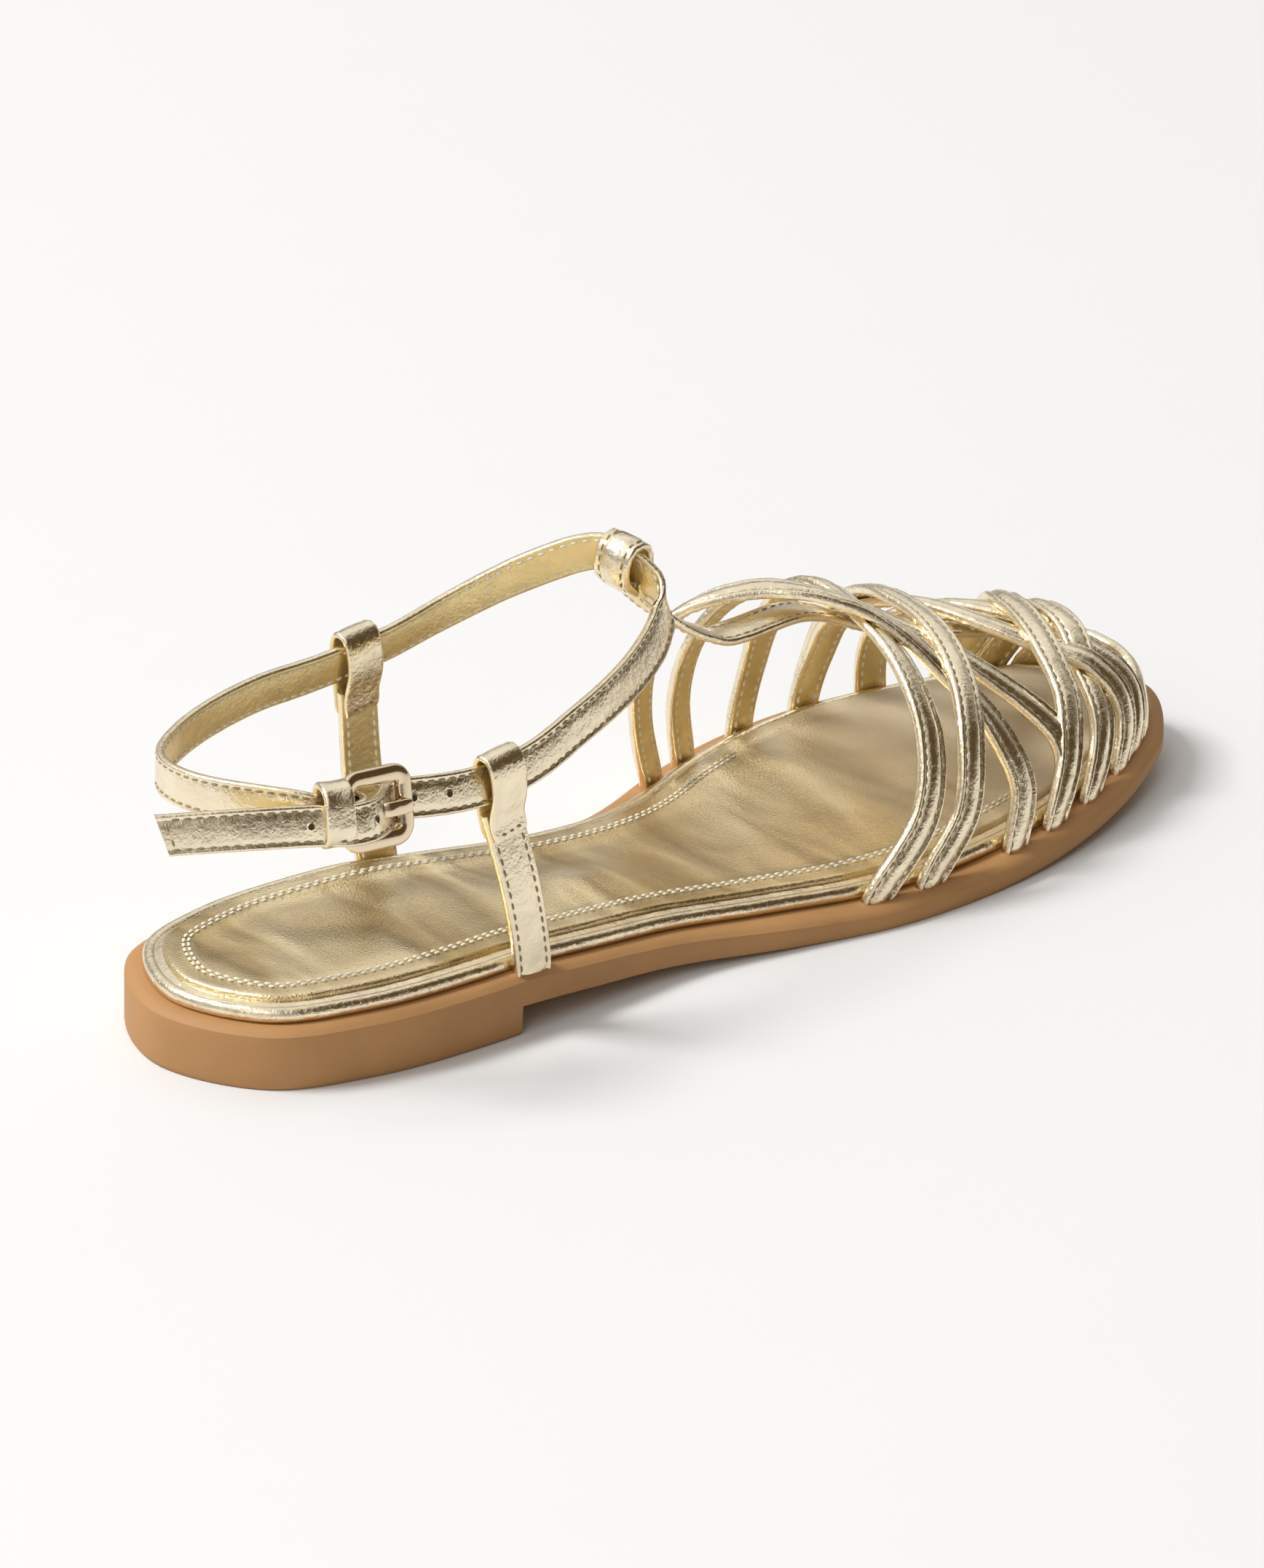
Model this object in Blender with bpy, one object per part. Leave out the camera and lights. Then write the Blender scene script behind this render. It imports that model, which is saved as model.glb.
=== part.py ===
"""A fisherman sandal for the right foot: one flat sole and an upper of nine woven straps.

The shoe is modelled with its heel at x = 0, its toe at +X, the foot's inner side (medial)
at +Y and the floor at z = 0. The finished pieces are then moved as one, so that the origin
is the middle of the shoe on the floor. Sizes are in millimetres and MM turns them to metres.
"""

import bpy
import bmesh
from mathutils import Vector
from math import cos, sin, pi, radians

MM = 0.001
GAP = 0.3

# Sole
SOLE_LENGTH = 255.7
BALL_WIDTH = 84.0
TOE_TIP_SHIFT = -4.8
HEEL_HEIGHT = 12.4
FOREPART_THICKNESS = 4.6
TOE_SPRING = 8.9
BREAST_AT = 64.0
BREAST_STEP = 5.9
TREAD_START = 147.0
TREAD_END = 167.0
WALL_BEVEL = 1.9
WALL_BEVEL_DROP = 1.3
TREAD_ROUNDING = 0.5
LEDGE_WIDENING = 2.8
WIDENING_START = 85.0
WIDENING_END = 150.0

# Board and sock that the foot stands on
BOARD_THICKNESS = 3.0
BOARD_INSET = 3.5
BOARD_BEAD = 0.7
SOCK_THICKNESS = 1.3
SOCK_INSET = 7.4
SOCK_CROWN = 0.5

# Straps of the upper
STRAP_THICKNESS = 2.3
STRAP_EDGE = 0.7
VAMP_STRAP_WIDTH = 6.4
T_STRAP_WIDTH = 8.6
T_STRAP_THICKNESS = 3.0
FOOT_INSET = 0.4
WEAVE_STEP = 2.1
WEAVE_BASE = 2.7
BASE_FADE = 0.035
WEAVE_SETTLES = 0.72
STRAP_SINK = 5.0
VAMP_HEIGHT = 52.0
VAMP_BOW = 0.80
VAMP_DOME = 0.82

# Ankle strap, its posts and its loops
ANKLE_STRAP_WIDTH = 8.2
ANKLE_STRAP_THICKNESS = 1.7
ANKLE_HEIGHT = 57.2
ANKLE_WIDTH = 56.0
POST_WIDTH = 9.0
POST_THICKNESS = 1.9
POST_INSET = 3.0
LOOP_WALL = 1.8
LOOP_CLEARANCE = 1.2
T_LOOP_CLEARANCE = 1.5

# Buckle
BUCKLE_LENGTH = 17.0
BUCKLE_HEIGHT = 18.0
BUCKLE_CORNER = 4.2
FRAME_WIDTH = 3.2
FRAME_THICKNESS = 2.2
HINGE_BAR = 2.0
PRONG_THICKNESS = 1.8
PRONG_EYE_WALL = 1.1
HOLE_LENGTH = 7.5
KEEPER_WIDTH = 6.0
KEEPER_WALL = 1.5
KEEPER_AT = 5.3
KEEPER_TURN = 20.0
KEEPER_CORNER = 1.5
WRAP_LAP = 1.0

# Columns: place along SOLE_LENGTH, then the half widths as shares of BALL_WIDTH
SOLE_OUTLINE = (
    # along, lateral, medial
    (0.039, 0.262, 0.262),
    (0.117, 0.363, 0.344),
    (0.215, 0.400, 0.343),
    (0.313, 0.398, 0.299),
    (0.411, 0.396, 0.274),
    (0.508, 0.455, 0.313),
    (0.606, 0.518, 0.426),
    (0.694, 0.523, 0.490),
    (0.782, 0.490, 0.485),
    (0.860, 0.424, 0.411),
    (0.919, 0.343, 0.322),
    (0.958, 0.263, 0.236),
)

# Columns: place along SOLE_LENGTH, share of the drop from heel to forepart that is left
SOLE_DROP = (
    (0.000, 1.00),
    (0.244, 1.00),
    (0.323, 0.78),
    (0.391, 0.52),
    (0.508, 0.14),
    (0.587, 0.00),
    (0.978, 0.00),
)

# Columns: place along SOLE_LENGTH, inside height over the ledge as a share of VAMP_HEIGHT,
# and the ridge's place across as a share of BALL_WIDTH
VAMP_RIDGE = (
    (0.430, 1.330, 0.030),
    (0.458, 1.190, 0.032),
    (0.489, 1.060, 0.036),
    (0.528, 0.925, 0.042),
    (0.567, 0.862, 0.048),
    (0.626, 0.866, 0.055),
    (0.661, 0.825, 0.060),
    (0.692, 0.748, 0.062),
    (0.743, 0.640, 0.064),
    (0.802, 0.535, 0.062),
    (0.860, 0.430, 0.054),
    (0.899, 0.375, 0.043),
    (0.931, 0.315, 0.026),
    (0.950, 0.262, 0.012),
    (0.966, 0.180, -0.008),
    (0.976, 0.100, -0.020),
)

# Each woven strap runs from its lateral foot to its medial foot over the ridge.
# Points: (place along SOLE_LENGTH, way across from 0 lateral over 0.5 ridge to 1 medial)
VAMP_STRAPS = {
    "A": ((0.594, 0.00), (0.641, 0.08), (0.663, 0.19), (0.675, 0.31), (0.681, 0.43),
          (0.690, 0.56), (0.704, 0.72), (0.714, 0.87), (0.706, 1.00)),
    "B": ((0.645, 0.00), (0.682, 0.07), (0.702, 0.19), (0.725, 0.31), (0.747, 0.43),
          (0.765, 0.56), (0.778, 0.70), (0.782, 0.86), (0.772, 1.00)),
    "C": ((0.739, 0.00), (0.752, 0.09), (0.746, 0.18), (0.736, 0.28), (0.711, 0.37),
          (0.675, 0.44), (0.626, 0.50), (0.581, 0.57), (0.557, 0.67), (0.555, 0.79),
          (0.569, 0.91), (0.592, 1.00)),
    "D": ((0.788, 0.00), (0.811, 0.10), (0.811, 0.17), (0.793, 0.26), (0.768, 0.34),
          (0.735, 0.43), (0.700, 0.50), (0.669, 0.58), (0.641, 0.69), (0.626, 0.80),
          (0.624, 0.91), (0.637, 1.00)),
    "E": ((0.788, 0.00), (0.811, 0.10), (0.823, 0.17), (0.838, 0.25), (0.847, 0.34),
          (0.860, 0.42), (0.876, 0.50), (0.892, 0.60), (0.901, 0.72), (0.903, 0.85),
          (0.888, 1.00)),
    "F": ((0.839, 0.00), (0.862, 0.10), (0.874, 0.17), (0.882, 0.25), (0.890, 0.33),
          (0.899, 0.42), (0.909, 0.51), (0.920, 0.62), (0.929, 0.75), (0.929, 0.87),
          (0.917, 1.00)),
    "G": ((0.888, 0.00), (0.901, 0.09), (0.902, 0.17), (0.894, 0.26), (0.876, 0.35),
          (0.849, 0.42), (0.817, 0.50), (0.792, 0.60), (0.780, 0.73), (0.782, 0.87),
          (0.772, 1.00)),
    "H": ((0.917, 0.00), (0.927, 0.10), (0.932, 0.19), (0.928, 0.28), (0.913, 0.38),
          (0.888, 0.47), (0.860, 0.54), (0.839, 0.64), (0.827, 0.77), (0.828, 0.89),
          (0.831, 1.00)),
    "J": ((0.940, 0.00), (0.950, 0.12), (0.961, 0.25), (0.968, 0.37), (0.970, 0.50),
          (0.968, 0.63), (0.962, 0.75), (0.953, 0.88), (0.942, 1.00)),
}

# The lower strap of a crossing comes second
WEAVE_OVER = (
    ("C", "A"), ("A", "D"), ("B", "C"), ("B", "D"), ("E", "G"), ("E", "H"),
    ("G", "F"), ("F", "H"), ("H", "J"), ("F", "J"), ("A", "G"), ("B", "G"),
)

# Middle strap from its toe end to the ankle loop: (along SOLE_LENGTH, way across)
T_STRAP = ((0.895, 0.5), (0.841, 0.495), (0.782, 0.49), (0.723, 0.49), (0.665, 0.49),
           (0.606, 0.49), (0.557, 0.49), (0.518, 0.495), (0.489, 0.5))

# Ankle strap, from its free end to the buckle's hinge bar: place along SOLE_LENGTH, place
# across as a share of ANKLE_WIDTH, height as a share of ANKLE_HEIGHT
T_LOOP_PLACE = (0.463, 0.036, 1.283)
LATERAL_LOOP_PLACE = (0.242, -0.509, 0.935)
MEDIAL_LOOP_PLACE = (0.266, 0.411, 1.036)
BUCKLE_PLACE = (0.122, -0.509, 0.990)
TAIL_END = ((-0.039, -0.268, 1.005), (0.013, -0.405, 1.007))
STRAP_TO_LATERAL_LOOP = ((0.197, -0.509, 0.945),)
STRAP_TO_T_LOOP = (
    (0.284, -0.500, 0.965), (0.323, -0.465, 1.005), (0.367, -0.405, 1.035),
    (0.416, -0.305, 1.060), (0.455, -0.205, 1.108), (0.476, -0.115, 1.172),
    (0.473, -0.040, 1.230),
)
STRAP_TO_MEDIAL_LOOP = (
    (0.456, 0.095, 1.306), (0.443, 0.150, 1.300), (0.427, 0.212, 1.268), (0.396, 0.315, 1.195),
    (0.347, 0.395, 1.105), (0.303, 0.410, 1.055),
)
STRAP_ROUND_HEEL = (
    (0.220, 0.408, 1.025), (0.166, 0.400, 1.025), (0.108, 0.355, 1.012), (0.061, 0.265, 1.005),
    (0.029, 0.145, 1.010), (0.020, 0.010, 1.015), (0.024, -0.150, 1.025),
    (0.041, -0.310, 1.030), (0.059, -0.420, 1.025),
)
BAND_RISE_AT_KEEPER = 0.9
TAIL_AT_KEEPER = 0.60

# Columns: red, green, blue, roughness, metallic
MATERIALS = {
    "tan_rubber": (0.44, 0.24, 0.11, 0.55, 0.0),
    "gold_leather": (0.62, 0.52, 0.32, 0.34, 0.85),
    "gold_lining": (0.55, 0.44, 0.25, 0.42, 0.6),
    "gold_metal": (0.72, 0.56, 0.34, 0.16, 1.0),
}

OUTLINE_STEPS = 30


def clear_scene():
    """Remove every object, so that the model is all there is."""
    for item in list(bpy.data.objects):
        bpy.data.objects.remove(item, do_unlink=True)


def make_material(name):
    """Return the named material with its Principled colours."""
    red, green, blue, roughness, metallic = MATERIALS[name]
    material = bpy.data.materials.new(name)
    material.use_nodes = True
    shader = material.node_tree.nodes["Principled BSDF"]
    shader.inputs["Base Color"].default_value = (red, green, blue, 1.0)
    shader.inputs["Roughness"].default_value = roughness
    shader.inputs["Metallic"].default_value = metallic
    material.diffuse_color = (red, green, blue, 1.0)
    return material


def table_value(table, place, column=1):
    """Read a table's column at a place, with a smooth curve that never overshoots."""
    places = [row[0] for row in table]
    values = [row[column] for row in table]
    if place <= places[0]:
        return values[0]
    if place >= places[-1]:
        return values[-1]
    index = max(i for i in range(len(places) - 1) if places[i] <= place)
    steps = [places[i + 1] - places[i] for i in range(len(places) - 1)]
    slopes = [(values[i + 1] - values[i]) / steps[i] for i in range(len(steps))]

    def tangent(i):
        if i == 0 or i == len(values) - 1:
            return slopes[0] if i == 0 else slopes[-1]
        if slopes[i - 1] * slopes[i] <= 0:
            return 0.0
        return 2 * slopes[i - 1] * slopes[i] / (slopes[i - 1] + slopes[i])

    step = steps[index]
    t = (place - places[index]) / step
    start, end = tangent(index) * step, tangent(index + 1) * step
    low, high = values[index], values[index + 1]
    return ((2 * t ** 3 - 3 * t ** 2 + 1) * low + (t ** 3 - 2 * t ** 2 + t) * start
            + (3 * t ** 2 - 2 * t ** 3) * high + (t ** 3 - t ** 2) * end)


def spline(points, closed=False, per_span=12):
    """Return points on a centripetal Catmull-Rom curve through the given vectors."""
    points = [Vector(p) for p in points]
    if closed:
        rows = [points[-1]] + points + points[:2]
    else:
        rows = [points[0] * 2 - points[1]] + points + [points[-1] * 2 - points[-2]]
    result = []
    for i in range(1, len(rows) - 2):
        p0, p1, p2, p3 = rows[i - 1:i + 3]
        t1 = (p1 - p0).length ** 0.5
        t2 = t1 + (p2 - p1).length ** 0.5
        t3 = t2 + (p3 - p2).length ** 0.5
        for k in range(per_span):
            t = t1 + (t2 - t1) * k / per_span
            a1 = p0 * (t1 - t) / t1 + p1 * t / t1
            a2 = p1 * (t2 - t) / (t2 - t1) + p2 * (t - t1) / (t2 - t1)
            a3 = p2 * (t3 - t) / (t3 - t2) + p3 * (t - t2) / (t3 - t2)
            b1 = a1 * (t2 - t) / t2 + a2 * t / t2
            b2 = a2 * (t3 - t) / (t3 - t1) + a3 * (t - t1) / (t3 - t1)
            result.append(b1 * (t2 - t) / (t2 - t1) + b2 * (t - t1) / (t2 - t1))
    if not closed:
        result.append(points[-1])
    return result


def resample(points, spacing):
    """Return the polyline's points at even steps of about the given spacing."""
    lengths = [0.0]
    for a, b in zip(points, points[1:]):
        lengths.append(lengths[-1] + (b - a).length)
    count = max(2, round(lengths[-1] / spacing))
    result = []
    index = 0
    for k in range(count + 1):
        target = lengths[-1] * k / count
        while index < len(lengths) - 2 and lengths[index + 1] < target:
            index += 1
        span = lengths[index + 1] - lengths[index]
        share = (target - lengths[index]) / span if span else 0.0
        result.append(points[index].lerp(points[index + 1], min(1.0, share)))
    return result


def sole_curve():
    """Return the outsole's closed outline, dense, from the heel along the lateral side."""
    lateral = [(along * SOLE_LENGTH, -out * BALL_WIDTH, 0) for along, out, _ in SOLE_OUTLINE]
    medial = [(along * SOLE_LENGTH, out * BALL_WIDTH, 0) for along, _, out in SOLE_OUTLINE]
    points = [(0, 0, 0)] + lateral + [(SOLE_LENGTH, TOE_TIP_SHIFT, 0)] + medial[::-1]
    return spline(points, closed=True, per_span=16)


SOLE_CURVE = sole_curve()


def side_halves(inset):
    """Return the outline's two sides, heel to toe, moved inward by the inset.

    What stands inside the ledge moves in further where the ledge widens to the forepart.
    """
    count = len(SOLE_CURVE)
    moved = []
    for i, point in enumerate(SOLE_CURVE):
        way = SOLE_CURVE[(i + 1) % count] - SOLE_CURVE[i - 1]
        inward = Vector((-way.y, way.x, 0)).normalized()
        share = min(1.0, max(0.0, (point.x - WIDENING_START) / (WIDENING_END - WIDENING_START)))
        widening = LEDGE_WIDENING * share * share * (3 - 2 * share) if inset > WALL_BEVEL else 0.0
        moved.append(point + inward * (inset + widening))
    toe = max(range(count), key=lambda i: moved[i].x)
    return moved[:toe + 1], [moved[0]] + moved[:toe - 1:-1]


def edge_at(inset, x, lateral):
    """Return how far across the inset outline lies at x."""
    side = side_cache(inset)[0 if lateral else 1]
    if x <= side[0].x:
        return side[0].y
    for a, b in zip(side, side[1:]):
        if a.x <= x <= b.x:
            share = (x - a.x) / (b.x - a.x) if b.x > a.x else 0.0
            return a.y + (b.y - a.y) * share
    return side[-1].y


HALVES = {}


def side_cache(inset):
    """Keep the two sides of an inset outline, because many points ask for them."""
    if inset not in HALVES:
        HALVES[inset] = side_halves(inset)
    return HALVES[inset]


def sole_bottom(x):
    """Return the height of the outsole's underside at x."""
    if x <= BREAST_AT:
        return 0.0
    if x < TREAD_START:
        u = (TREAD_START - x) / (TREAD_START - BREAST_AT)
        return BREAST_STEP * (0.5 * u * u * (3 - 2 * u) + 0.5 * u * u)
    if x <= TREAD_END:
        return 0.0
    u = (x - TREAD_END) / (SOLE_LENGTH - TREAD_END)
    return TOE_SPRING * u * u


def sole_top(x):
    """Return the height of the outsole's upper ledge at x."""
    drop = table_value(SOLE_DROP, x / SOLE_LENGTH)
    rise = 0.0
    if x > TREAD_END:
        u = (x - TREAD_END) / (SOLE_LENGTH - TREAD_END)
        rise = (TOE_SPRING - 0.35 * FOREPART_THICKNESS) * u * u
    return FOREPART_THICKNESS + (HEEL_HEIGHT - FOREPART_THICKNESS) * drop + rise


def outline_ring(inset, height):
    """Return paired points round an inset outline; height gives z for an x.

    The list runs from the heel along the lateral side to the toe and back.
    """
    sides = side_cache(inset)
    start, end = sides[0][0].x, sides[0][-1].x
    places = [start + (end - start) * 0.5 * (1 - cos(pi * k / OUTLINE_STEPS))
              for k in range(1, OUTLINE_STEPS)]
    breast = min(range(len(places)), key=lambda i: abs(places[i] - BREAST_AT))
    places[breast] = BREAST_AT
    places.insert(breast + 1, BREAST_AT + 0.2)
    lateral = [Vector((x, edge_at(inset, x, True), height(x))) for x in places]
    medial = [Vector((x, edge_at(inset, x, False), height(x))) for x in places]
    heel = Vector((start, sides[0][0].y, height(start)))
    toe = Vector((end, sides[0][-1].y, height(end)))
    return [heel] + lateral + [toe] + medial[::-1]


def add_mesh(name, points, faces, collection, material=None, smooth=30.0):
    """Make an object of points in millimetres and faces, facing out."""
    mesh = bpy.data.meshes.new(name)
    build = bmesh.new()
    corners = [build.verts.new(p * MM) for p in points]
    for face in faces:
        build.faces.new([corners[i] for i in face])
    bmesh.ops.recalc_face_normals(build, faces=build.faces)
    build.to_mesh(mesh)
    build.free()
    mesh.shade_smooth()
    mesh.set_sharp_from_angle(angle=radians(smooth))
    item = bpy.data.objects.new(name, mesh)
    collection.objects.link(item)
    if material:
        mesh.materials.append(material)
    return item


def stack_of_rings(name, rings, collection, material=None):
    """Make a closed solid from paired outline rings, bottom first."""
    size = len(rings[0])
    points = [p for ring in rings for p in ring]
    faces = []
    for level in range(len(rings) - 1):
        low, high = level * size, (level + 1) * size
        for i in range(size):
            j = (i + 1) % size
            faces.append((low + i, low + j, high + j, high + i))
    last = (len(rings) - 1) * size
    half = size // 2
    for base, flip in ((0, True), (last, False)):
        for i in range(half):
            a, b = i, i + 1
            c, d = (size - i - 1) % size, (size - i) % size
            face = [base + a, base + b]
            if c != b:
                face.append(base + c)
            if d != a:
                face.append(base + d)
            faces.append(tuple(face[::-1]) if flip else tuple(face))
    return add_mesh(name, points, faces, collection, material)


def ribbon(name, path, outs, width, thickness, collection, material=None, closed=False):
    """Sweep a strap's section along a path: outs are the outward normals.

    The path is the middle of the strap's inner face.
    """
    edge = min(STRAP_EDGE, thickness * 0.4)
    half = width / 2
    section = ((-half, 0.0), (half, 0.0), (half, thickness - edge),
               (half - edge, thickness), (-half + edge, thickness), (-half, thickness - edge))
    points = []
    count = len(path)
    for i, (point, out) in enumerate(zip(path, outs)):
        before = path[i - 1] if i or closed else point
        after = path[(i + 1) % count] if i < count - 1 or closed else point
        way = (after - before).normalized()
        side = way.cross(out).normalized()
        up = side.cross(way).normalized()
        points.extend(point + side * s + up * h for s, h in section)
    size = len(section)
    faces = []
    for i in range(count if closed else count - 1):
        low, high = i * size, ((i + 1) % count) * size
        for k in range(size):
            m = (k + 1) % size
            faces.append((low + k, low + m, high + m, high + k))
    if not closed:
        faces.append(tuple(range(size))[::-1])
        faces.append(tuple((count - 1) * size + k for k in range(size)))
    return add_mesh(name, points, faces, collection, material)


def boolean(target, cutter, operation):
    """Join or cut the target with the cutter, which is removed afterwards."""
    modifier = target.modifiers.new(operation.lower(), "BOOLEAN")
    modifier.operation = operation
    modifier.solver = "EXACT"
    modifier.object = cutter
    depsgraph = bpy.context.evaluated_depsgraph_get()
    mesh = bpy.data.meshes.new_from_object(target.evaluated_get(depsgraph))
    mesh.name = target.name
    target.modifiers.clear()
    target.data = mesh
    bpy.data.objects.remove(cutter, do_unlink=True)


def last_point(x, across):
    """Return the point of the foot's upper surface, inside the straps."""
    x = min(x, SOLE_LENGTH * VAMP_RIDGE[-1][0])
    place = x / SOLE_LENGTH
    base = sole_top(x)
    height = table_value(VAMP_RIDGE, place, 1) * VAMP_HEIGHT
    ridge = table_value(VAMP_RIDGE, place, 2) * BALL_WIDTH
    inset = FOOT_INSET + STRAP_THICKNESS
    edge = edge_at(inset, x, across < 0.5)
    angle = across * pi
    lean = abs(cos(angle)) ** VAMP_BOW if 0 <= across <= 1 else 1.0
    rise = abs(sin(angle)) ** VAMP_DOME
    if not 0 <= across <= 1:
        rise = -rise
    return Vector((x, ridge + (edge - ridge) * lean, base + height * rise))


def last_normal(x, across):
    """Return the outward normal of the foot's upper surface."""
    across = min(max(across, 0.012), 0.988)
    along = last_point(x + 1.0, across) - last_point(x - 1.0, across)
    over = last_point(x, across + 0.01) - last_point(x, across - 0.01)
    return over.cross(along).normalized() * -1


def chart_curve(points):
    """Return a strap's curve as (x, across) pairs, dense."""
    rows = [Vector((along * SOLE_LENGTH, across * 100, 0)) for along, across in points]
    return [(p.x, p.y / 100) for p in spline(rows, per_span=6)]


def crossing(first, second):
    """Return the ways across where two chart curves meet, or None."""
    for (x1, t1), (x2, t2) in zip(first, first[1:]):
        for (x3, t3), (x4, t4) in zip(second, second[1:]):
            turn = (x2 - x1) * (t4 - t3) - (t2 - t1) * (x4 - x3)
            if abs(turn) < 1e-9:
                continue
            s = ((x3 - x1) * (t4 - t3) - (t3 - t1) * (x4 - x3)) / turn
            u = ((x3 - x1) * (t2 - t1) - (t3 - t1) * (x2 - x1)) / turn
            if 0 <= s <= 1 and 0 <= u <= 1 and 0.05 < t1 < 0.95:
                return t1 + (t2 - t1) * s, t3 + (t4 - t3) * u
    return None


def weave_levels(curves):
    """Return each strap's table of (way across, level) from the order of the weave."""
    levels = {name: [(0.0, 0.0), (1.0, 0.0)] for name in curves}
    for over, under in WEAVE_OVER:
        meeting = crossing(curves[over], curves[under])
        if meeting:
            levels[over].append((meeting[0], 1.0))
            levels[under].append((meeting[1], 0.0))
    for rows in levels.values():
        if all(across < WEAVE_SETTLES - 0.1 for across, level in rows[2:]):
            rows.append((WEAVE_SETTLES, 0.0))
    return {name: sorted(rows) for name, rows in levels.items()}


def strap_lift(x, across, levels):
    """Return how far a strap's inner face stands off the foot, over the middle strap's end too."""
    near_ridge = max(0.0, 1.0 - abs(across - 0.5) / 0.26)
    past_end = (x / SOLE_LENGTH - T_STRAP[0][0]) / BASE_FADE
    near_ridge *= 1.0 - min(1.0, max(0.0, past_end))
    base = near_ridge * near_ridge * (3 - 2 * near_ridge)
    for (t0, level0), (t1, level1) in zip(levels, levels[1:]):
        if t0 <= across <= t1:
            share = (across - t0) / (t1 - t0) if t1 > t0 else 0.0
            share = share * share * (3 - 2 * share)
            return WEAVE_BASE * base + WEAVE_STEP * (level0 + (level1 - level0) * share)
    return 0.0


def vamp_strap(name, curve, levels, collection):
    """Make one woven strap as its own solid, a little longer than it shows."""
    dense = []
    for x, across in curve:
        out = last_normal(x, across)
        dense.append(last_point(x, across) + out * strap_lift(x, across, levels))
    for end, second in ((0, 1), (-1, -2)):
        way = (dense[end] - dense[second]).normalized()
        way = Vector((way.x, 0, way.z)).normalized()
        if end == 0:
            dense.insert(0, dense[0] + way * STRAP_SINK)
        else:
            dense.append(dense[-1] + way * STRAP_SINK)
    path = resample(dense, 5.0)
    outs = [nearest_normal(point, curve) for point in path]
    return ribbon(name, path, outs, VAMP_STRAP_WIDTH, STRAP_THICKNESS, collection)


def nearest_normal(point, curve):
    """Return the foot's normal at the curve's point that lies nearest."""
    x, across = min(curve, key=lambda c: (last_point(*c) - point).length_squared)
    return last_normal(x, across)


def ankle_point(place):
    """Turn an ankle place's shares into a point."""
    along, across, up = place
    return Vector((along * SOLE_LENGTH, across * ANKLE_WIDTH, up * ANKLE_HEIGHT))


def frame_along(way):
    """Return the outward and upward axes of a strap that runs along a way."""
    side = (Vector((0, 0, 1)) - way * way.z).normalized()
    return way.cross(side).normalized(), side


def racetrack(half_out, half_up, radius, steps=4):
    """Return a rounded rectangle's corners in (out, up)."""
    radius = min(half_out, half_up, radius)
    rows = []
    for quarter in range(4):
        sign_out = 1 if quarter in (0, 3) else -1
        sign_up = 1 if quarter < 2 else -1
        for k in range(steps + 1):
            angle = (quarter + k / steps) * pi / 2
            rows.append((sign_out * (half_out - radius) + radius * cos(angle),
                         sign_up * (half_up - radius) + radius * sin(angle)))
    return rows


def ring_loop(name, centre, way, half_out, half_up, corner, wall, width, collection, material):
    """Make a strap loop: a closed band round an opening, as wide as its strap."""
    out, up = frame_along(way)
    inner = racetrack(half_out, half_up, corner)
    outer = racetrack(half_out + wall, half_up + wall, corner + wall)
    points = []
    for rows in (inner, outer):
        for end in (-0.5, 0.5):
            points.extend(centre + out * a + up * b + way * (width * end) for a, b in rows)
    size = len(inner)
    faces = []
    for i in range(size):
        j = (i + 1) % size
        faces.append((i, j, size + j, size + i))
        faces.append((2 * size + i, 3 * size + i, 3 * size + j, 2 * size + j))
        faces.append((i, 2 * size + i, 2 * size + j, j))
        faces.append((size + i, size + j, 3 * size + j, 3 * size + i))
    return add_mesh(name, points, faces, collection, material)


def heel_post(name, loop_place, lateral, collection, material):
    """Make a post: a strap from the ledge up to a loop round the ankle strap."""
    centre = ankle_point(loop_place)
    way = way_through(centre)
    half_up = ANKLE_STRAP_WIDTH / 2 + LOOP_CLEARANCE
    half_out = ANKLE_STRAP_THICKNESS / 2 + LOOP_CLEARANCE
    post = ring_loop(name, centre, way, half_out, half_up, half_out, LOOP_WALL, POST_WIDTH,
                     collection, material)
    foot_x = centre.x + 0.024 * SOLE_LENGTH
    inset = POST_INSET
    edge = edge_at(inset, foot_x, lateral)
    sign = -1 if lateral else 1
    slope = (edge_at(inset, foot_x + POST_WIDTH / 2, lateral)
             - edge_at(inset, foot_x - POST_WIDTH / 2, lateral)) / POST_WIDTH
    foot_out = Vector((-slope * sign, sign, 0)).normalized()
    loop_out = frame_along(way)[0]
    if loop_out.y * sign < 0:
        loop_out = -loop_out
    foot = Vector((foot_x, edge, sole_top(foot_x) - STRAP_SINK))
    ledge = Vector((foot_x, edge, sole_top(foot_x) + 1.0))
    top = centre - Vector((0, 0, half_up + LOOP_WALL * 0.5))
    top.y -= sign * POST_THICKNESS * 0.5
    bow = ledge.lerp(top, 0.45) + Vector((0, sign * 1.6, 0))
    path = resample(spline([foot, ledge, bow, top], per_span=8), 5.0)
    outs = [foot_out.lerp(loop_out, min(1.0, max(0.0, (p.z - ledge.z) / (top.z - ledge.z))))
            for p in path]
    strap = ribbon(name + "_strap", path, outs, POST_WIDTH, POST_THICKNESS, collection)
    boolean(post, strap, "UNION")
    return post


def ledge_cutter(collection):
    """Make the body below the ledge that trims the feet of the straps."""
    rings = [outline_ring(-8.0, lambda x: -30.0),
             outline_ring(-8.0, lambda x: sole_top(min(max(x, 0.0), SOLE_LENGTH)) + GAP)]
    return stack_of_rings("ledge_cutter", rings, collection)


def make_outsole(collection, material):
    """Make the moulded outsole with its heel block, shank and sprung toe."""
    def wall_top(x):
        return sole_top(x) - WALL_BEVEL_DROP

    rings = [
        outline_ring(TREAD_ROUNDING, sole_bottom),
        outline_ring(0.0, lambda x: sole_bottom(x) + TREAD_ROUNDING),
        outline_ring(0.0, wall_top),
        outline_ring(WALL_BEVEL, sole_top),
    ]
    return stack_of_rings("outsole", rings, collection, material)


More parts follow.
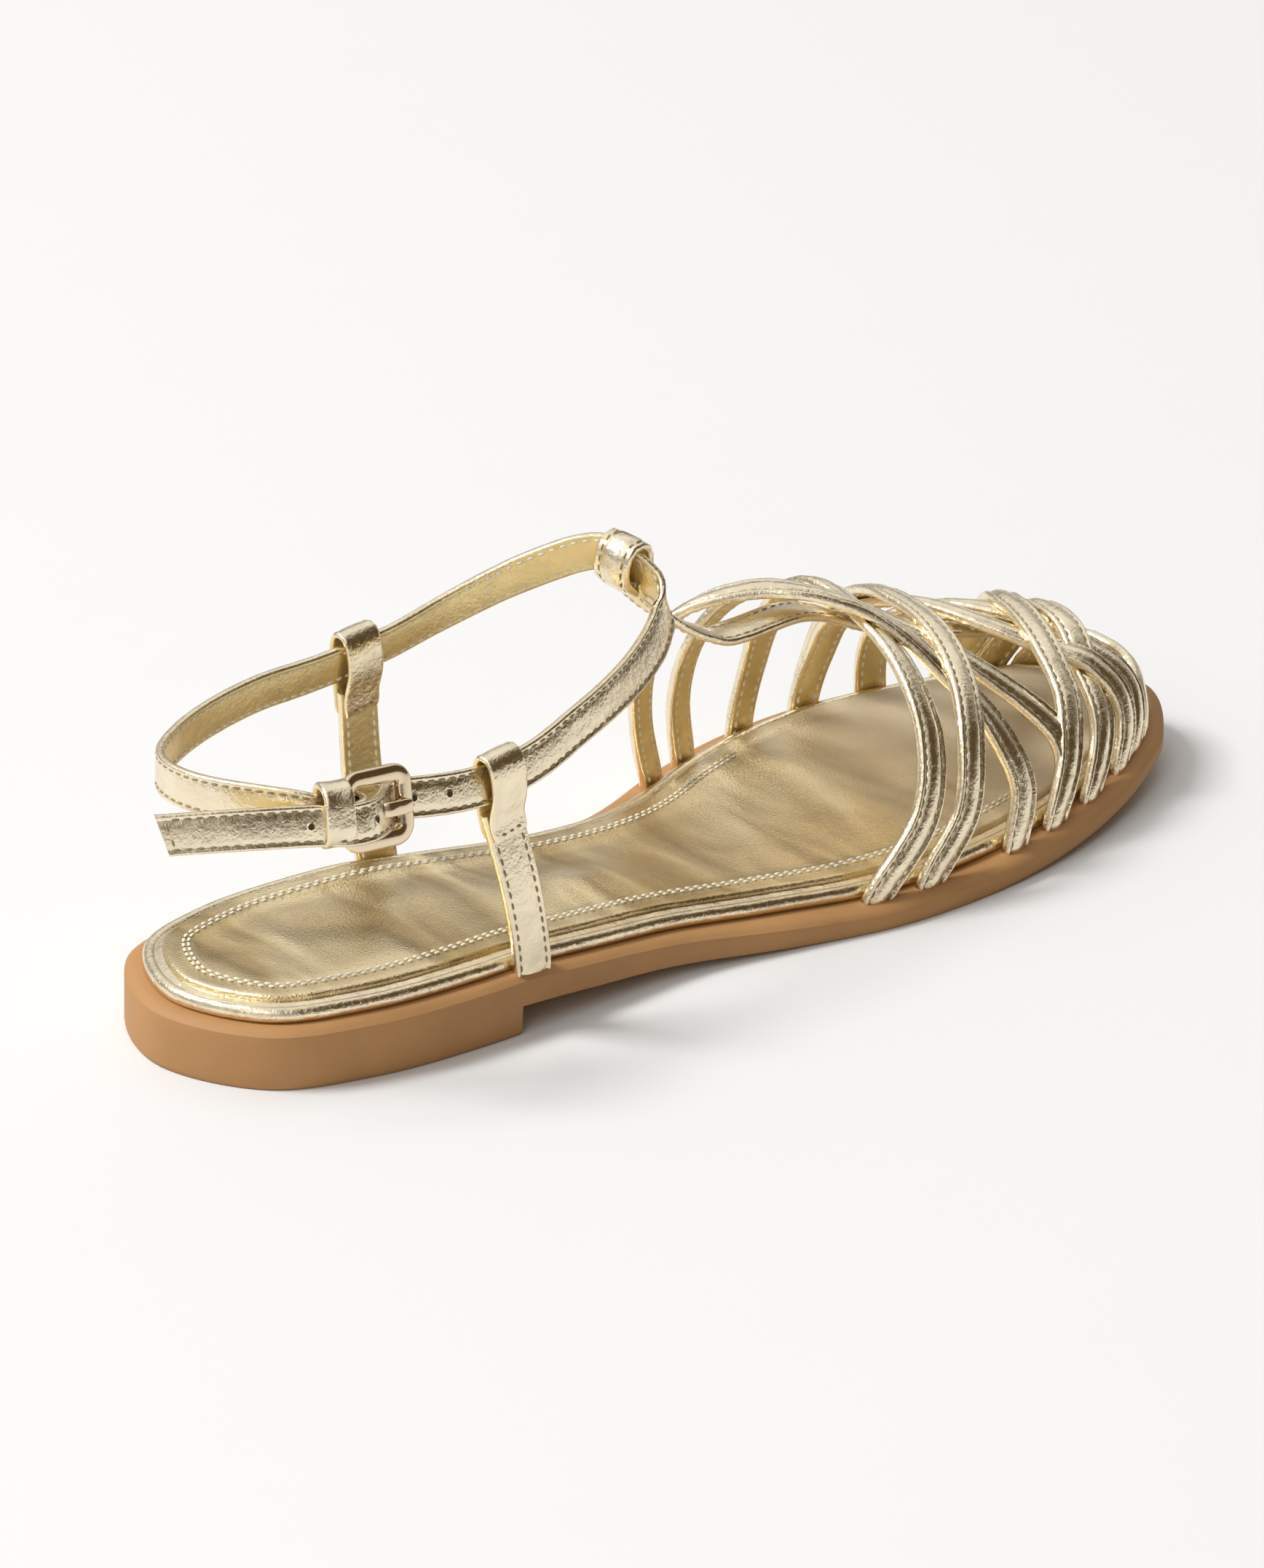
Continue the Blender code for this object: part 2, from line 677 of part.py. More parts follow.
def make_board(collection, material):
    """Make the wrapped board with its beaded edge."""
    def at(rise):
        return lambda x: sole_top(x) + GAP + rise

    rings = [
        outline_ring(BOARD_INSET + BOARD_BEAD, at(0.0)),
        outline_ring(BOARD_INSET, at(BOARD_THICKNESS * 0.3)),
        outline_ring(BOARD_INSET, at(BOARD_THICKNESS * 0.75)),
        outline_ring(BOARD_INSET + BOARD_BEAD, at(BOARD_THICKNESS)),
    ]
    return stack_of_rings("footbed_board", rings, collection, material)


def make_sock(collection, material):
    """Make the padded sock on the board."""
    def at(rise):
        return lambda x: sole_top(x) + 2 * GAP + BOARD_THICKNESS + rise

    rings = [
        outline_ring(SOCK_INSET, at(0.0)),
        outline_ring(SOCK_INSET, at(SOCK_THICKNESS * 0.6)),
        outline_ring(SOCK_INSET + 0.6, at(SOCK_THICKNESS)),
        outline_ring(SOCK_INSET + 7.0, at(SOCK_THICKNESS + SOCK_CROWN)),
    ]
    return stack_of_rings("insole_sock", rings, collection, material)


def make_upper(collection, material):
    """Make the woven vamp and the middle strap with its loop, as one joined piece."""
    centre = ankle_point(T_LOOP_PLACE)
    way = way_through(centre)
    half_up = ANKLE_STRAP_WIDTH / 2 + T_LOOP_CLEARANCE
    half_out = ANKLE_STRAP_THICKNESS / 2 + T_LOOP_CLEARANCE
    upper = ring_loop("upper", centre, way, half_out, half_up, half_out, LOOP_WALL,
                      T_STRAP_WIDTH, collection, material)

    chart = chart_curve(T_STRAP)
    path = [last_point(x, across) for x, across in chart]
    _, up = frame_along(way)
    path.append(centre - up * (half_up + LOOP_WALL * 0.4 + T_STRAP_THICKNESS))
    path = resample(spline(path[::3] + [path[-1]], per_span=4), 5.0)
    outs = [nearest_normal(point, chart) for point in path]
    middle = ribbon("middle_strap", path, outs, T_STRAP_WIDTH, T_STRAP_THICKNESS, collection)
    boolean(upper, middle, "UNION")

    curves = {name: chart_curve(points) for name, points in VAMP_STRAPS.items()}
    levels = weave_levels(curves)
    for name, curve in curves.items():
        strap = vamp_strap("strap_" + name, curve, levels[name], collection)
        boolean(upper, strap, "UNION")
    return upper


def ankle_path():
    """Return the ankle strap's middle line: its run, the wrap round the bar and the bar."""
    buckle = ankle_point(BUCKLE_PLACE)
    bar_offset = BUCKLE_LENGTH / 2 - FRAME_WIDTH / 2
    wrap = HINGE_BAR / 2 + GAP + ANKLE_STRAP_THICKNESS / 2
    outside = wrap + ANKLE_STRAP_THICKNESS + 2 * GAP
    inside = FRAME_THICKNESS / 2 + GAP + ANKLE_STRAP_THICKNESS / 2
    bar = buckle - Vector((bar_offset, 0, 0))
    keeper = bar - Vector((KEEPER_AT, 0, 0))

    run = [ankle_point(p) for p in TAIL_END]
    run.append(keeper + Vector((0, -outside * TAIL_AT_KEEPER, 0)))
    run.append(bar + Vector((-0.5 * wrap, -outside, 0)))
    run.append(bar + Vector((0.6 * wrap, -outside, 0)))
    run.append(buckle + Vector((-0.1 * BUCKLE_LENGTH, -outside * 0.45, 0)))
    run.append(buckle + Vector((bar_offset - FRAME_WIDTH * 0.6, inside + GAP, 0)))
    run.append(buckle + Vector((bar_offset + FRAME_WIDTH * 0.6, inside + GAP, 0)))
    run += [ankle_point(p) for p in STRAP_TO_LATERAL_LOOP]
    run.append(ankle_point(LATERAL_LOOP_PLACE))
    run += [ankle_point(p) for p in STRAP_TO_T_LOOP]
    run.append(ankle_point(T_LOOP_PLACE))
    run += [ankle_point(p) for p in STRAP_TO_MEDIAL_LOOP]
    run.append(ankle_point(MEDIAL_LOOP_PLACE))
    run += [ankle_point(p) for p in STRAP_ROUND_HEEL]
    run.append(keeper + Vector((0, wrap, BAND_RISE_AT_KEEPER)))
    run.append(bar + Vector((-2.0, wrap, 0)))
    path = resample(spline(run, per_span=10), 4.5)
    for k in range(0, 9):
        angle = pi / 2 - k * pi / 8
        path.append(bar + Vector((wrap * cos(angle), wrap * sin(angle), 0)))
    path.append(bar + Vector((-WRAP_LAP, -wrap, 0)))
    return path, buckle, bar, keeper


def strap_ways(path):
    """Return the unit directions along a path."""
    ways = []
    for i in range(len(path)):
        before, after = path[max(0, i - 1)], path[min(len(path) - 1, i + 1)]
        ways.append((after - before).normalized())
    return ways


def way_through(centre):
    """Return the ankle strap's direction where it passes a loop's centre."""
    path = ankle_path()[0]
    index = min(range(len(path)), key=lambda i: (path[i] - centre).length_squared)
    return (path[index + 1] - path[index - 1]).normalized()


def block(name, centre, size, collection):
    """Make a box from its centre and size in millimetres."""
    bpy.ops.mesh.primitive_cube_add(size=1.0, location=centre * MM)
    item = bpy.context.active_object
    item.name = name
    item.scale = Vector(size) * MM
    bpy.ops.object.transform_apply(location=False, rotation=False, scale=True)
    for group in list(item.users_collection):
        group.objects.unlink(item)
    collection.objects.link(item)
    return item


def make_ankle_strap(collection, material):
    """Make the ankle strap: one long band from its free end round to the buckle's bar."""
    path, buckle, bar, keeper = ankle_path()
    ways = strap_ways(path)
    outs = []
    centres = []
    for point, way in zip(path, ways):
        out, _ = frame_along(way)
        outs.append(out)
        centres.append(point - out * (ANKLE_STRAP_THICKNESS / 2))
    strap = ribbon("ankle_strap", centres, outs, ANKLE_STRAP_WIDTH, ANKLE_STRAP_THICKNESS,
                   collection, material)
    slot_height = PRONG_THICKNESS + 6 * GAP
    wrap = HINGE_BAR / 2 + GAP + ANKLE_STRAP_THICKNESS
    slot = block("slot", bar + Vector((wrap * 0.5, 0, 0)),
                 (wrap * 3.0, 2 * wrap + GAP, slot_height), collection)
    boolean(strap, slot, "DIFFERENCE")
    hole = block("hole", buckle + Vector((HOLE_LENGTH * 0.1, 0, 0)),
                 (HOLE_LENGTH, 4 * wrap, slot_height * 1.1), collection)
    boolean(strap, hole, "DIFFERENCE")
    return strap


def make_keeper(collection, material):
    """Make the keeper ring that holds the free end against the strap's fixed end."""
    _, _, _, keeper = ankle_path()
    wrap = HINGE_BAR / 2 + GAP + ANKLE_STRAP_THICKNESS / 2
    outside = (wrap + ANKLE_STRAP_THICKNESS + 2 * GAP) * TAIL_AT_KEEPER
    half_out = (wrap + outside + ANKLE_STRAP_THICKNESS) / 2 + 6 * GAP
    half_up = ANKLE_STRAP_WIDTH / 2 + BAND_RISE_AT_KEEPER + 3 * GAP
    centre = keeper + Vector((0, (wrap - outside) / 2, BAND_RISE_AT_KEEPER * 0.8))
    turn = radians(KEEPER_TURN)
    return ring_loop("keeper", centre, Vector((cos(turn), -sin(turn), 0)), half_out, half_up,
                     KEEPER_CORNER, KEEPER_WALL, KEEPER_WIDTH, collection, material)


def make_buckle(collection, material):
    """Make the buckle's rounded frame with its slimmer hinge bar."""
    _, buckle, _, _ = ankle_path()
    half_long = BUCKLE_LENGTH / 2 - FRAME_WIDTH / 2
    half_high = BUCKLE_HEIGHT / 2 - FRAME_WIDTH / 2
    corner = BUCKLE_CORNER - FRAME_WIDTH / 2
    path = []
    for quarter, (sx, sz) in enumerate(((1, 1), (-1, 1), (-1, -1), (1, -1))):
        for k in range(5):
            angle = (quarter + k / 4) * pi / 2
            path.append((sx * (half_long - corner) + corner * cos(angle),
                         sz * (half_high - corner) + corner * sin(angle)))
        if quarter == 1:
            path.append((-half_long, half_high * 0.35))
            path.append((-half_long, -half_high * 0.35))
    points = []
    count = len(path)
    for i, (a, b) in enumerate(path):
        before, after = path[i - 1], path[(i + 1) % count]
        way = Vector((after[0] - before[0], 0, after[1] - before[1])).normalized()
        side = Vector((way.z, 0, -way.x))
        on_bar = a < -half_long + 0.01 and abs(b) < half_high - corner + 0.01
        wide = HINGE_BAR if on_bar else FRAME_WIDTH
        thick = HINGE_BAR if on_bar else FRAME_THICKNESS
        for k in range(8):
            angle = (k + 0.5) * pi / 4
            points.append(buckle + Vector((a, 0, b)) + side * (wide / 2 * cos(angle) / cos(pi / 8))
                          + Vector((0, thick / 2 * sin(angle) / cos(pi / 8), 0)))
    faces = []
    for i in range(count):
        low, high = i * 8, ((i + 1) % count) * 8
        for k in range(8):
            m = (k + 1) % 8
            faces.append((low + k, low + m, high + m, high + k))
    return add_mesh("buckle_frame", points, faces, collection, material)


def make_prong(collection, material):
    """Make the prong: an eye round the hinge bar and a tongue that lies on the frame."""
    _, buckle, bar, _ = ankle_path()
    inner = HINGE_BAR / 2 / cos(pi / 8) + GAP
    outer = inner + PRONG_EYE_WALL
    points = []
    sides = 14
    for radius in (inner, outer):
        for end in (-0.5, 0.5):
            for k in range(sides):
                angle = 2 * pi * k / sides
                points.append(bar + Vector((radius * cos(angle), radius * sin(angle),
                                            PRONG_THICKNESS * end)))
    faces = []
    for i in range(sides):
        j = (i + 1) % sides
        faces.append((i, j, sides + j, sides + i))
        faces.append((2 * sides + i, 3 * sides + i, 3 * sides + j, 2 * sides + j))
        faces.append((i, 2 * sides + i, 2 * sides + j, j))
        faces.append((sides + i, sides + j, 3 * sides + j, 3 * sides + i))
    prong = add_mesh("buckle_prong", points, faces, collection, material)
    half_long = BUCKLE_LENGTH / 2
    lie = FRAME_THICKNESS / 2 / cos(pi / 8) + GAP
    path = [bar + Vector((inner + 0.5 * PRONG_EYE_WALL, -PRONG_EYE_WALL, 0)),
            buckle + Vector((-half_long * 0.35, -lie * 0.9, 0)),
            buckle + Vector((half_long * 0.1, -lie * 1.3, 0)),
            buckle + Vector((half_long * 0.6, -lie * 1.15, 0)),
            buckle + Vector((half_long * 0.98, -lie, 0))]
    path = resample(spline(path, per_span=6), 1.8)
    outs = [Vector((0, -1, 0))] * len(path)
    tongue = ribbon("tongue", path, outs, PRONG_THICKNESS, PRONG_THICKNESS * 0.8, collection)
    boolean(prong, tongue, "UNION")
    return prong


def trim_feet(pieces, cutters):
    """Cut each piece's strap ends along the sole's ledge."""
    for piece in pieces:
        boolean(piece, ledge_cutter(cutters), "DIFFERENCE")


def centre_on_floor(pieces, collection):
    """Parent every piece to an empty that brings the origin to the middle on the floor."""
    corners = [piece.matrix_world @ vertex.co for piece in pieces for vertex in piece.data.vertices]
    middle_x = (min(c.x for c in corners) + max(c.x for c in corners)) / 2
    middle_y = (min(c.y for c in corners) + max(c.y for c in corners)) / 2
    root = bpy.data.objects.new("fisherman_sandal_root", None)
    collection.objects.link(root)
    root.location = (-middle_x, -middle_y, 0)
    for piece in pieces:
        piece.parent = root


def main():
    """Build the sandal."""
    clear_scene()
    shoe = bpy.data.collections.new("fisherman_sandal")
    cutters = bpy.data.collections.new("cutters")
    bpy.context.scene.collection.children.link(shoe)
    bpy.context.scene.collection.children.link(cutters)
    rubber = make_material("tan_rubber")
    leather = make_material("gold_leather")
    lining = make_material("gold_lining")
    metal = make_material("gold_metal")

    outsole = make_outsole(shoe, rubber)
    board = make_board(shoe, leather)
    sock = make_sock(shoe, lining)
    upper = make_upper(shoe, leather)
    lateral = heel_post("heel_post_lateral", LATERAL_LOOP_PLACE, True, shoe, leather)
    medial = heel_post("heel_post_medial", MEDIAL_LOOP_PLACE, False, shoe, leather)
    trim_feet((upper, lateral, medial), cutters)
    ankle = make_ankle_strap(shoe, leather)
    keeper = make_keeper(shoe, leather)
    buckle = make_buckle(shoe, metal)
    prong = make_prong(shoe, metal)
    pieces = (outsole, board, sock, upper, lateral, medial, ankle, keeper, buckle, prong)
    centre_on_floor(pieces, shoe)


main()
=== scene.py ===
"""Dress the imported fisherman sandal: folded gold straps, padded sock, moulded sole and buckle.

Shapes are worked out in millimetres from the heel, as the frame's own were, and place() moves
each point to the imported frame.
"""

from functools import lru_cache
from math import cos, pi, radians, sin, tanh

import bmesh
import bpy
from mathutils import Matrix, Vector, noise


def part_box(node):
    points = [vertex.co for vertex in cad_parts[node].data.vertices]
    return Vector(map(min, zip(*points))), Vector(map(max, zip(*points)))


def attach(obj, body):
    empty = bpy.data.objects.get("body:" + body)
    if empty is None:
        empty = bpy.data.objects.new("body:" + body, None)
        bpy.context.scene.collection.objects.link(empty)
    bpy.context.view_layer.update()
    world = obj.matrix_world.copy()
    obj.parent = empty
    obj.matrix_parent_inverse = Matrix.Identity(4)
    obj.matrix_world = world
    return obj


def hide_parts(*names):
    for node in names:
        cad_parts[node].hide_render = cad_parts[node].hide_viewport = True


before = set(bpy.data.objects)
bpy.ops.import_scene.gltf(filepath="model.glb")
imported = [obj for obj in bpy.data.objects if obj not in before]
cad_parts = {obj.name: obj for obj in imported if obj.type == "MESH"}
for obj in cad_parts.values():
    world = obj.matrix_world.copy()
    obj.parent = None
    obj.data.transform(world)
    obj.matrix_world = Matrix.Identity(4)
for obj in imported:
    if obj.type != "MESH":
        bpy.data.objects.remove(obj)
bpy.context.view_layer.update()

bl_info = {
    "name": "Fisherman Sandal",
    "version": (1, 0, 0),
    "blender": (4, 5, 0),
    "location": "View3D > Sidebar > Sandal",
    "description": "Builds a woven gold sandal piece by piece around its packed frame",
    "category": "Add Mesh",
}

MM = 0.001
GAP = 0.3

# Sole
SOLE_LENGTH = 255.7
BALL_WIDTH = 84.0
TOE_TIP_SHIFT = -4.8
HEEL_HEIGHT = 12.4
FOREPART_THICKNESS = 4.6
TOE_SPRING = 8.9
BREAST_AT = 64.0
BREAST_STEP = 5.9
TREAD_START = 147.0
TREAD_END = 167.0
WALL_BEVEL = 1.9
WALL_BEVEL_DROP = 1.3
TREAD_ROUNDING = 0.5
LEDGE_WIDENING = 2.8
WIDENING_START = 85.0
WIDENING_END = 150.0

# Board and sock that the foot stands on
BOARD_THICKNESS = 3.0
BOARD_INSET = 3.5
SOCK_INSET = 7.4

# Straps of the upper
STRAP_THICKNESS = 2.3
FOOT_INSET = 0.4
WEAVE_STEP = 2.1
WEAVE_BASE = 2.7
BASE_REACH = 0.26
BASE_FADE = 0.035
WEAVE_SETTLES = 0.72
VAMP_HEIGHT = 52.0
VAMP_BOW = 0.80
VAMP_DOME = 0.82

# Ankle strap, its posts and its loops
ANKLE_STRAP_WIDTH = 8.2
ANKLE_STRAP_THICKNESS = 1.7
ANKLE_HEIGHT = 57.2
ANKLE_WIDTH = 56.0
POST_WIDTH = 9.0
POST_THICKNESS = 1.9
POST_INSET = 3.0
LOOP_WALL = 1.8
LOOP_CLEARANCE = 1.2
T_LOOP_CLEARANCE = 1.5

# Buckle, its prong and the keeper
BUCKLE_LENGTH = 17.0
BUCKLE_HEIGHT = 18.0
BUCKLE_CORNER = 4.2
FRAME_WIDTH = 3.2
FRAME_THICKNESS = 2.2
HINGE_BAR = 2.0
PRONG_THICKNESS = 1.8
PRONG_EYE_WALL = 1.1
KEEPER_AT = 5.3
KEEPER_TURN = 20.0
WRAP_LAP = 1.0
LEDGE_SEAT = 1.5
TAIL_NEAR_KEEPER = 0.25
BUCKLE_ROLL = 13.0
BUCKLE_PITCH = 5.0
BUCKLE_DROP = 0.4
CASTING_WIDTH = 3.5
FRAME_SHRINK = 1.0
PRONG_WIDTH = 3.0
PRONG_SHORT = 1.4
PRONG_LIFT = 0.4
KEEPER_FORWARD = 2.4
KEEPER_RAISE = 0.7
WRAP_STEPS = 8
PRONG_EYE_STEPS = 24

# Columns: place along SOLE_LENGTH, then the half widths as shares of BALL_WIDTH
SOLE_OUTLINE = (
    # along, lateral, medial
    (0.039, 0.262, 0.262),
    (0.117, 0.363, 0.344),
    (0.215, 0.400, 0.343),
    (0.313, 0.398, 0.299),
    (0.411, 0.396, 0.274),
    (0.508, 0.455, 0.313),
    (0.606, 0.518, 0.426),
    (0.694, 0.523, 0.490),
    (0.782, 0.490, 0.485),
    (0.860, 0.424, 0.411),
    (0.919, 0.343, 0.322),
    (0.958, 0.263, 0.236),
)

# Columns: place along SOLE_LENGTH, share of the drop from heel to forepart that is left
SOLE_DROP = (
    (0.000, 1.00),
    (0.244, 1.00),
    (0.323, 0.78),
    (0.391, 0.52),
    (0.508, 0.14),
    (0.587, 0.00),
    (0.978, 0.00),
)

# Columns: place along SOLE_LENGTH, inside height over the ledge as a share of VAMP_HEIGHT,
# and the ridge's place across as a share of BALL_WIDTH
VAMP_RIDGE = (
    (0.430, 1.330, 0.030),
    (0.458, 1.190, 0.032),
    (0.489, 1.060, 0.036),
    (0.528, 0.925, 0.042),
    (0.567, 0.862, 0.048),
    (0.626, 0.866, 0.055),
    (0.661, 0.825, 0.060),
    (0.692, 0.748, 0.062),
    (0.743, 0.640, 0.064),
    (0.802, 0.535, 0.062),
    (0.860, 0.430, 0.054),
    (0.899, 0.375, 0.043),
    (0.931, 0.315, 0.026),
    (0.950, 0.262, 0.012),
    (0.966, 0.180, -0.008),
    (0.976, 0.100, -0.020),
)

# Each woven strap runs from its lateral foot to its medial foot over the ridge.
# Points: (place along SOLE_LENGTH, way across from 0 lateral over 0.5 ridge to 1 medial)
VAMP_STRAPS = {
    "A": ((0.594, 0.00), (0.641, 0.08), (0.663, 0.19), (0.675, 0.31), (0.681, 0.43),
          (0.690, 0.56), (0.704, 0.72), (0.714, 0.87), (0.706, 1.00)),
    "B": ((0.645, 0.00), (0.682, 0.07), (0.702, 0.19), (0.725, 0.31), (0.747, 0.43),
          (0.765, 0.56), (0.778, 0.70), (0.782, 0.86), (0.772, 1.00)),
    "C": ((0.739, 0.00), (0.752, 0.09), (0.746, 0.18), (0.736, 0.28), (0.711, 0.37),
          (0.675, 0.44), (0.626, 0.50), (0.581, 0.57), (0.557, 0.67), (0.555, 0.79),
          (0.569, 0.91), (0.592, 1.00)),
    "D": ((0.788, 0.00), (0.811, 0.10), (0.811, 0.17), (0.793, 0.26), (0.768, 0.34),
          (0.735, 0.43), (0.700, 0.50), (0.669, 0.58), (0.641, 0.69), (0.626, 0.80),
          (0.624, 0.91), (0.637, 1.00)),
    "E": ((0.788, 0.00), (0.811, 0.10), (0.823, 0.17), (0.838, 0.25), (0.847, 0.34),
          (0.860, 0.42), (0.876, 0.50), (0.892, 0.60), (0.901, 0.72), (0.903, 0.85),
          (0.888, 1.00)),
    "F": ((0.839, 0.00), (0.862, 0.10), (0.874, 0.17), (0.882, 0.25), (0.890, 0.33),
          (0.899, 0.42), (0.909, 0.51), (0.920, 0.62), (0.929, 0.75), (0.929, 0.87),
          (0.917, 1.00)),
    "G": ((0.888, 0.00), (0.901, 0.09), (0.902, 0.17), (0.894, 0.26), (0.876, 0.35),
          (0.849, 0.42), (0.817, 0.50), (0.792, 0.60), (0.780, 0.73), (0.782, 0.87),
          (0.772, 1.00)),
    "H": ((0.917, 0.00), (0.927, 0.10), (0.932, 0.19), (0.928, 0.28), (0.913, 0.38),
          (0.888, 0.47), (0.860, 0.54), (0.839, 0.64), (0.827, 0.77), (0.828, 0.89),
          (0.831, 1.00)),
    "J": ((0.940, 0.00), (0.950, 0.12), (0.961, 0.25), (0.968, 0.37), (0.970, 0.50),
          (0.968, 0.63), (0.962, 0.75), (0.953, 0.88), (0.942, 1.00)),
}

# Crossings of the weave: the upper strap, then the lower one
WEAVE_OVER = (
    ("C", "A"), ("A", "D"), ("B", "C"), ("B", "D"), ("E", "G"), ("E", "H"),
    ("G", "F"), ("F", "H"), ("H", "J"), ("F", "J"), ("A", "G"), ("B", "G"),
)

# Middle strap from its toe end to the ankle loop: (along SOLE_LENGTH, way across)
T_STRAP = ((0.895, 0.5), (0.841, 0.495), (0.782, 0.49), (0.723, 0.49), (0.665, 0.49),
           (0.606, 0.49), (0.557, 0.49), (0.518, 0.495), (0.489, 0.5))

# Ankle strap, from its free end to the buckle's hinge bar: place along SOLE_LENGTH, place
# across as a share of ANKLE_WIDTH, height as a share of ANKLE_HEIGHT
T_LOOP_PLACE = (0.463, 0.036, 1.283)
LATERAL_LOOP_PLACE = (0.242, -0.509, 0.935)
MEDIAL_LOOP_PLACE = (0.266, 0.411, 1.036)
BUCKLE_PLACE = (0.122, -0.509, 0.990)
TAIL_END = ((-0.039, -0.268, 1.005), (0.013, -0.405, 1.007))
STRAP_TO_LATERAL_LOOP = ((0.197, -0.509, 0.945),)
STRAP_TO_T_LOOP = (
    (0.284, -0.500, 0.965), (0.323, -0.465, 1.005), (0.367, -0.405, 1.035),
    (0.416, -0.305, 1.060), (0.455, -0.205, 1.108), (0.476, -0.115, 1.172),
    (0.473, -0.040, 1.230),
)
STRAP_TO_MEDIAL_LOOP = (
    (0.456, 0.095, 1.306), (0.443, 0.150, 1.300), (0.427, 0.212, 1.268), (0.396, 0.315, 1.195),
    (0.347, 0.395, 1.105), (0.303, 0.410, 1.055),
)
STRAP_ROUND_HEEL = (
    (0.220, 0.408, 1.025), (0.166, 0.400, 1.025), (0.108, 0.355, 1.012), (0.061, 0.265, 1.005),
    (0.029, 0.145, 1.010), (0.020, 0.010, 1.015), (0.024, -0.150, 1.025),
    (0.041, -0.310, 1.030), (0.059, -0.420, 1.025),
)
BAND_RISE_AT_KEEPER = 0.9

# How far the ankle strap leans back along its length: share of the length, degrees
ROLL_TABLE = (
    (0.0, BUCKLE_ROLL), (0.22, BUCKLE_ROLL), (0.30, 12.0), (0.40, 22.0), (0.49, 8.0),
    (0.55, 10.0), (0.64, 12.0), (0.75, 4.0), (0.84, 0.0), (0.92, 6.0), (1.0, BUCKLE_ROLL),
)

# Middle strap's loop: its fold as shares of the loop's half height and half depth, how far it
# turns from the ankle strap, and its neck and the end that is sewn down behind
T_LOOP_FOLD = ((-0.55, 1.0), (0.50, 1.0), (1.0, 0.35), (0.92, -0.60), (0.30, -1.0), (-0.60, -0.9))
T_LOOP_TURN = (0.30, 0.45, -0.25)
T_LOOP_SPAN = 8
NECK_DROP = 1.2
NECK_OUT = 0.6
NECK_BEHIND = 0.3
T_LOOP_LAP = 1.5

# Posts' loops: their fold in the same shares, and how their legs lie along the post's top
POST_LOOP_FOLD = ((-0.45, 1.0), (0.50, 1.0), (0.97, 0.5))
POST_LOOP_LEGS = (5.2, 1.4)
POST_LOOP_LIE = 0.06

# Posts: how far their feet stand forward as a share of SOLE_LENGTH, and their outward bow
POST_FOOT_FORWARD = 0.024
POST_FOOT_RISE = 1.0
POST_BOW = 1.6

# Prong: how far before its end, and how far out from the buckle's middle plane
PRONG_RUN = ((10.0, 0.4), (7.4, -1.2), (6.2, -2.5), (4.0, -2.6), (1.2, -2.5))

# Sections: how far across and how far out from the strap's inner face, half of each
VAMP_SECTION = (
    (0.0, 2.38), (0.85, 2.30), (1.55, 2.02), (1.98, 1.60), (2.22, 1.66), (2.55, 1.96),
    (2.95, 2.00), (3.28, 1.72), (3.45, 1.25), (3.45, 0.55), (3.26, 0.12), (2.80, 0.0),
    (2.28, 0.10), (1.75, 0.02),
)
MIDDLE_THINNING = 0.72
MIDDLE_SECTION = tuple((s, h * MIDDLE_THINNING) for s, h in (
    (0.0, 2.70), (1.2, 2.62), (2.2, 2.30), (2.75, 1.92), (3.05, 1.98), (3.45, 2.24),
    (3.85, 2.24), (4.15, 1.95), (4.30, 1.45), (4.30, 0.60), (4.10, 0.12), (3.60, 0.0),
    (3.05, 0.10), (2.40, 0.02),
))
BAND_SECTION = (
    (0.0, 1.66), (1.3, 1.64), (2.3, 1.55), (2.85, 1.38), (3.15, 1.42), (3.5, 1.62),
    (3.82, 1.56), (4.04, 1.30), (4.10, 0.95), (4.10, 0.55), (3.95, 0.16), (3.5, 0.0),
    (3.1, 0.08), (2.5, 0.0),
)
POST_SECTION = (
    (0.0, 1.90), (1.4, 1.88), (2.5, 1.76), (3.1, 1.56), (3.4, 1.60), (3.8, 1.84),
    (4.15, 1.80), (4.42, 1.50), (4.50, 1.05), (4.50, 0.55), (4.34, 0.16), (3.9, 0.0),
    (3.4, 0.08), (2.7, 0.0),
)
LOOP_SECTION = (
    (0.0, 1.24), (1.6, 1.22), (2.9, 1.12), (3.5, 1.16), (3.95, 1.12), (4.22, 0.90),
    (4.30, 0.60), (4.24, 0.24), (3.95, 0.04), (3.0, 0.0),
)
KEEPER_SECTION = (
    (0.0, 1.38), (1.2, 1.38), (2.0, 1.46), (2.5, 1.52), (2.84, 1.36), (3.00, 1.00),
    (3.00, 0.50), (2.84, 0.12), (2.4, 0.0), (1.2, 0.0),
)

# Rows of stitches on the straps: how far across from the middle, and how far out
VAMP_ROW = (2.02, 1.62)
MIDDLE_ROW = (2.80, MIDDLE_SECTION[3][1])
BAND_ROW = (2.95, 1.40)
POST_ROW = (3.2, 1.58)
LINING_STITCH_RADIUS = 0.36

# Rows of stitches across a strap's end: places across, then how far out
BAND_END_ROW = (-2.9, -1.0, 1.0, 2.9)
BAND_END_OUT = 1.66
BAND_END_SLANT = 0.32
LOOP_END_ROW = (-2.88, -0.9, 0.9, 2.88)
LOOP_END_OUT = 1.22
LOOP_END_PITCH = 1.5

# Holes in the ankle strap: places along SOLE_LENGTH, the middle's flat disc of painted shade and the
# pressed rim
HOLES = (0.062, 0.104, 0.166, 0.190)
HOLE_OUT = 1.76
HOLE_RADIUS = 0.62
RIM_FOOT = 0.95
RIM_TOP = 0.66
RIM_HEIGHT = 0.14

# Wrapped board: how far inside its edge, and how high over the ledge
RAND_PROFILE = (
    (0.95, -0.05), (0.35, 0.22), (0.05, 0.80), (0.0, 1.50), (0.10, 2.15), (0.42, 2.72),
    (0.95, 3.06), (1.55, 3.12), (2.05, 2.92), (2.38, 2.60), (2.75, 2.66), (3.30, 2.98),
    (3.90, 3.06), (5.20, 3.06),
)

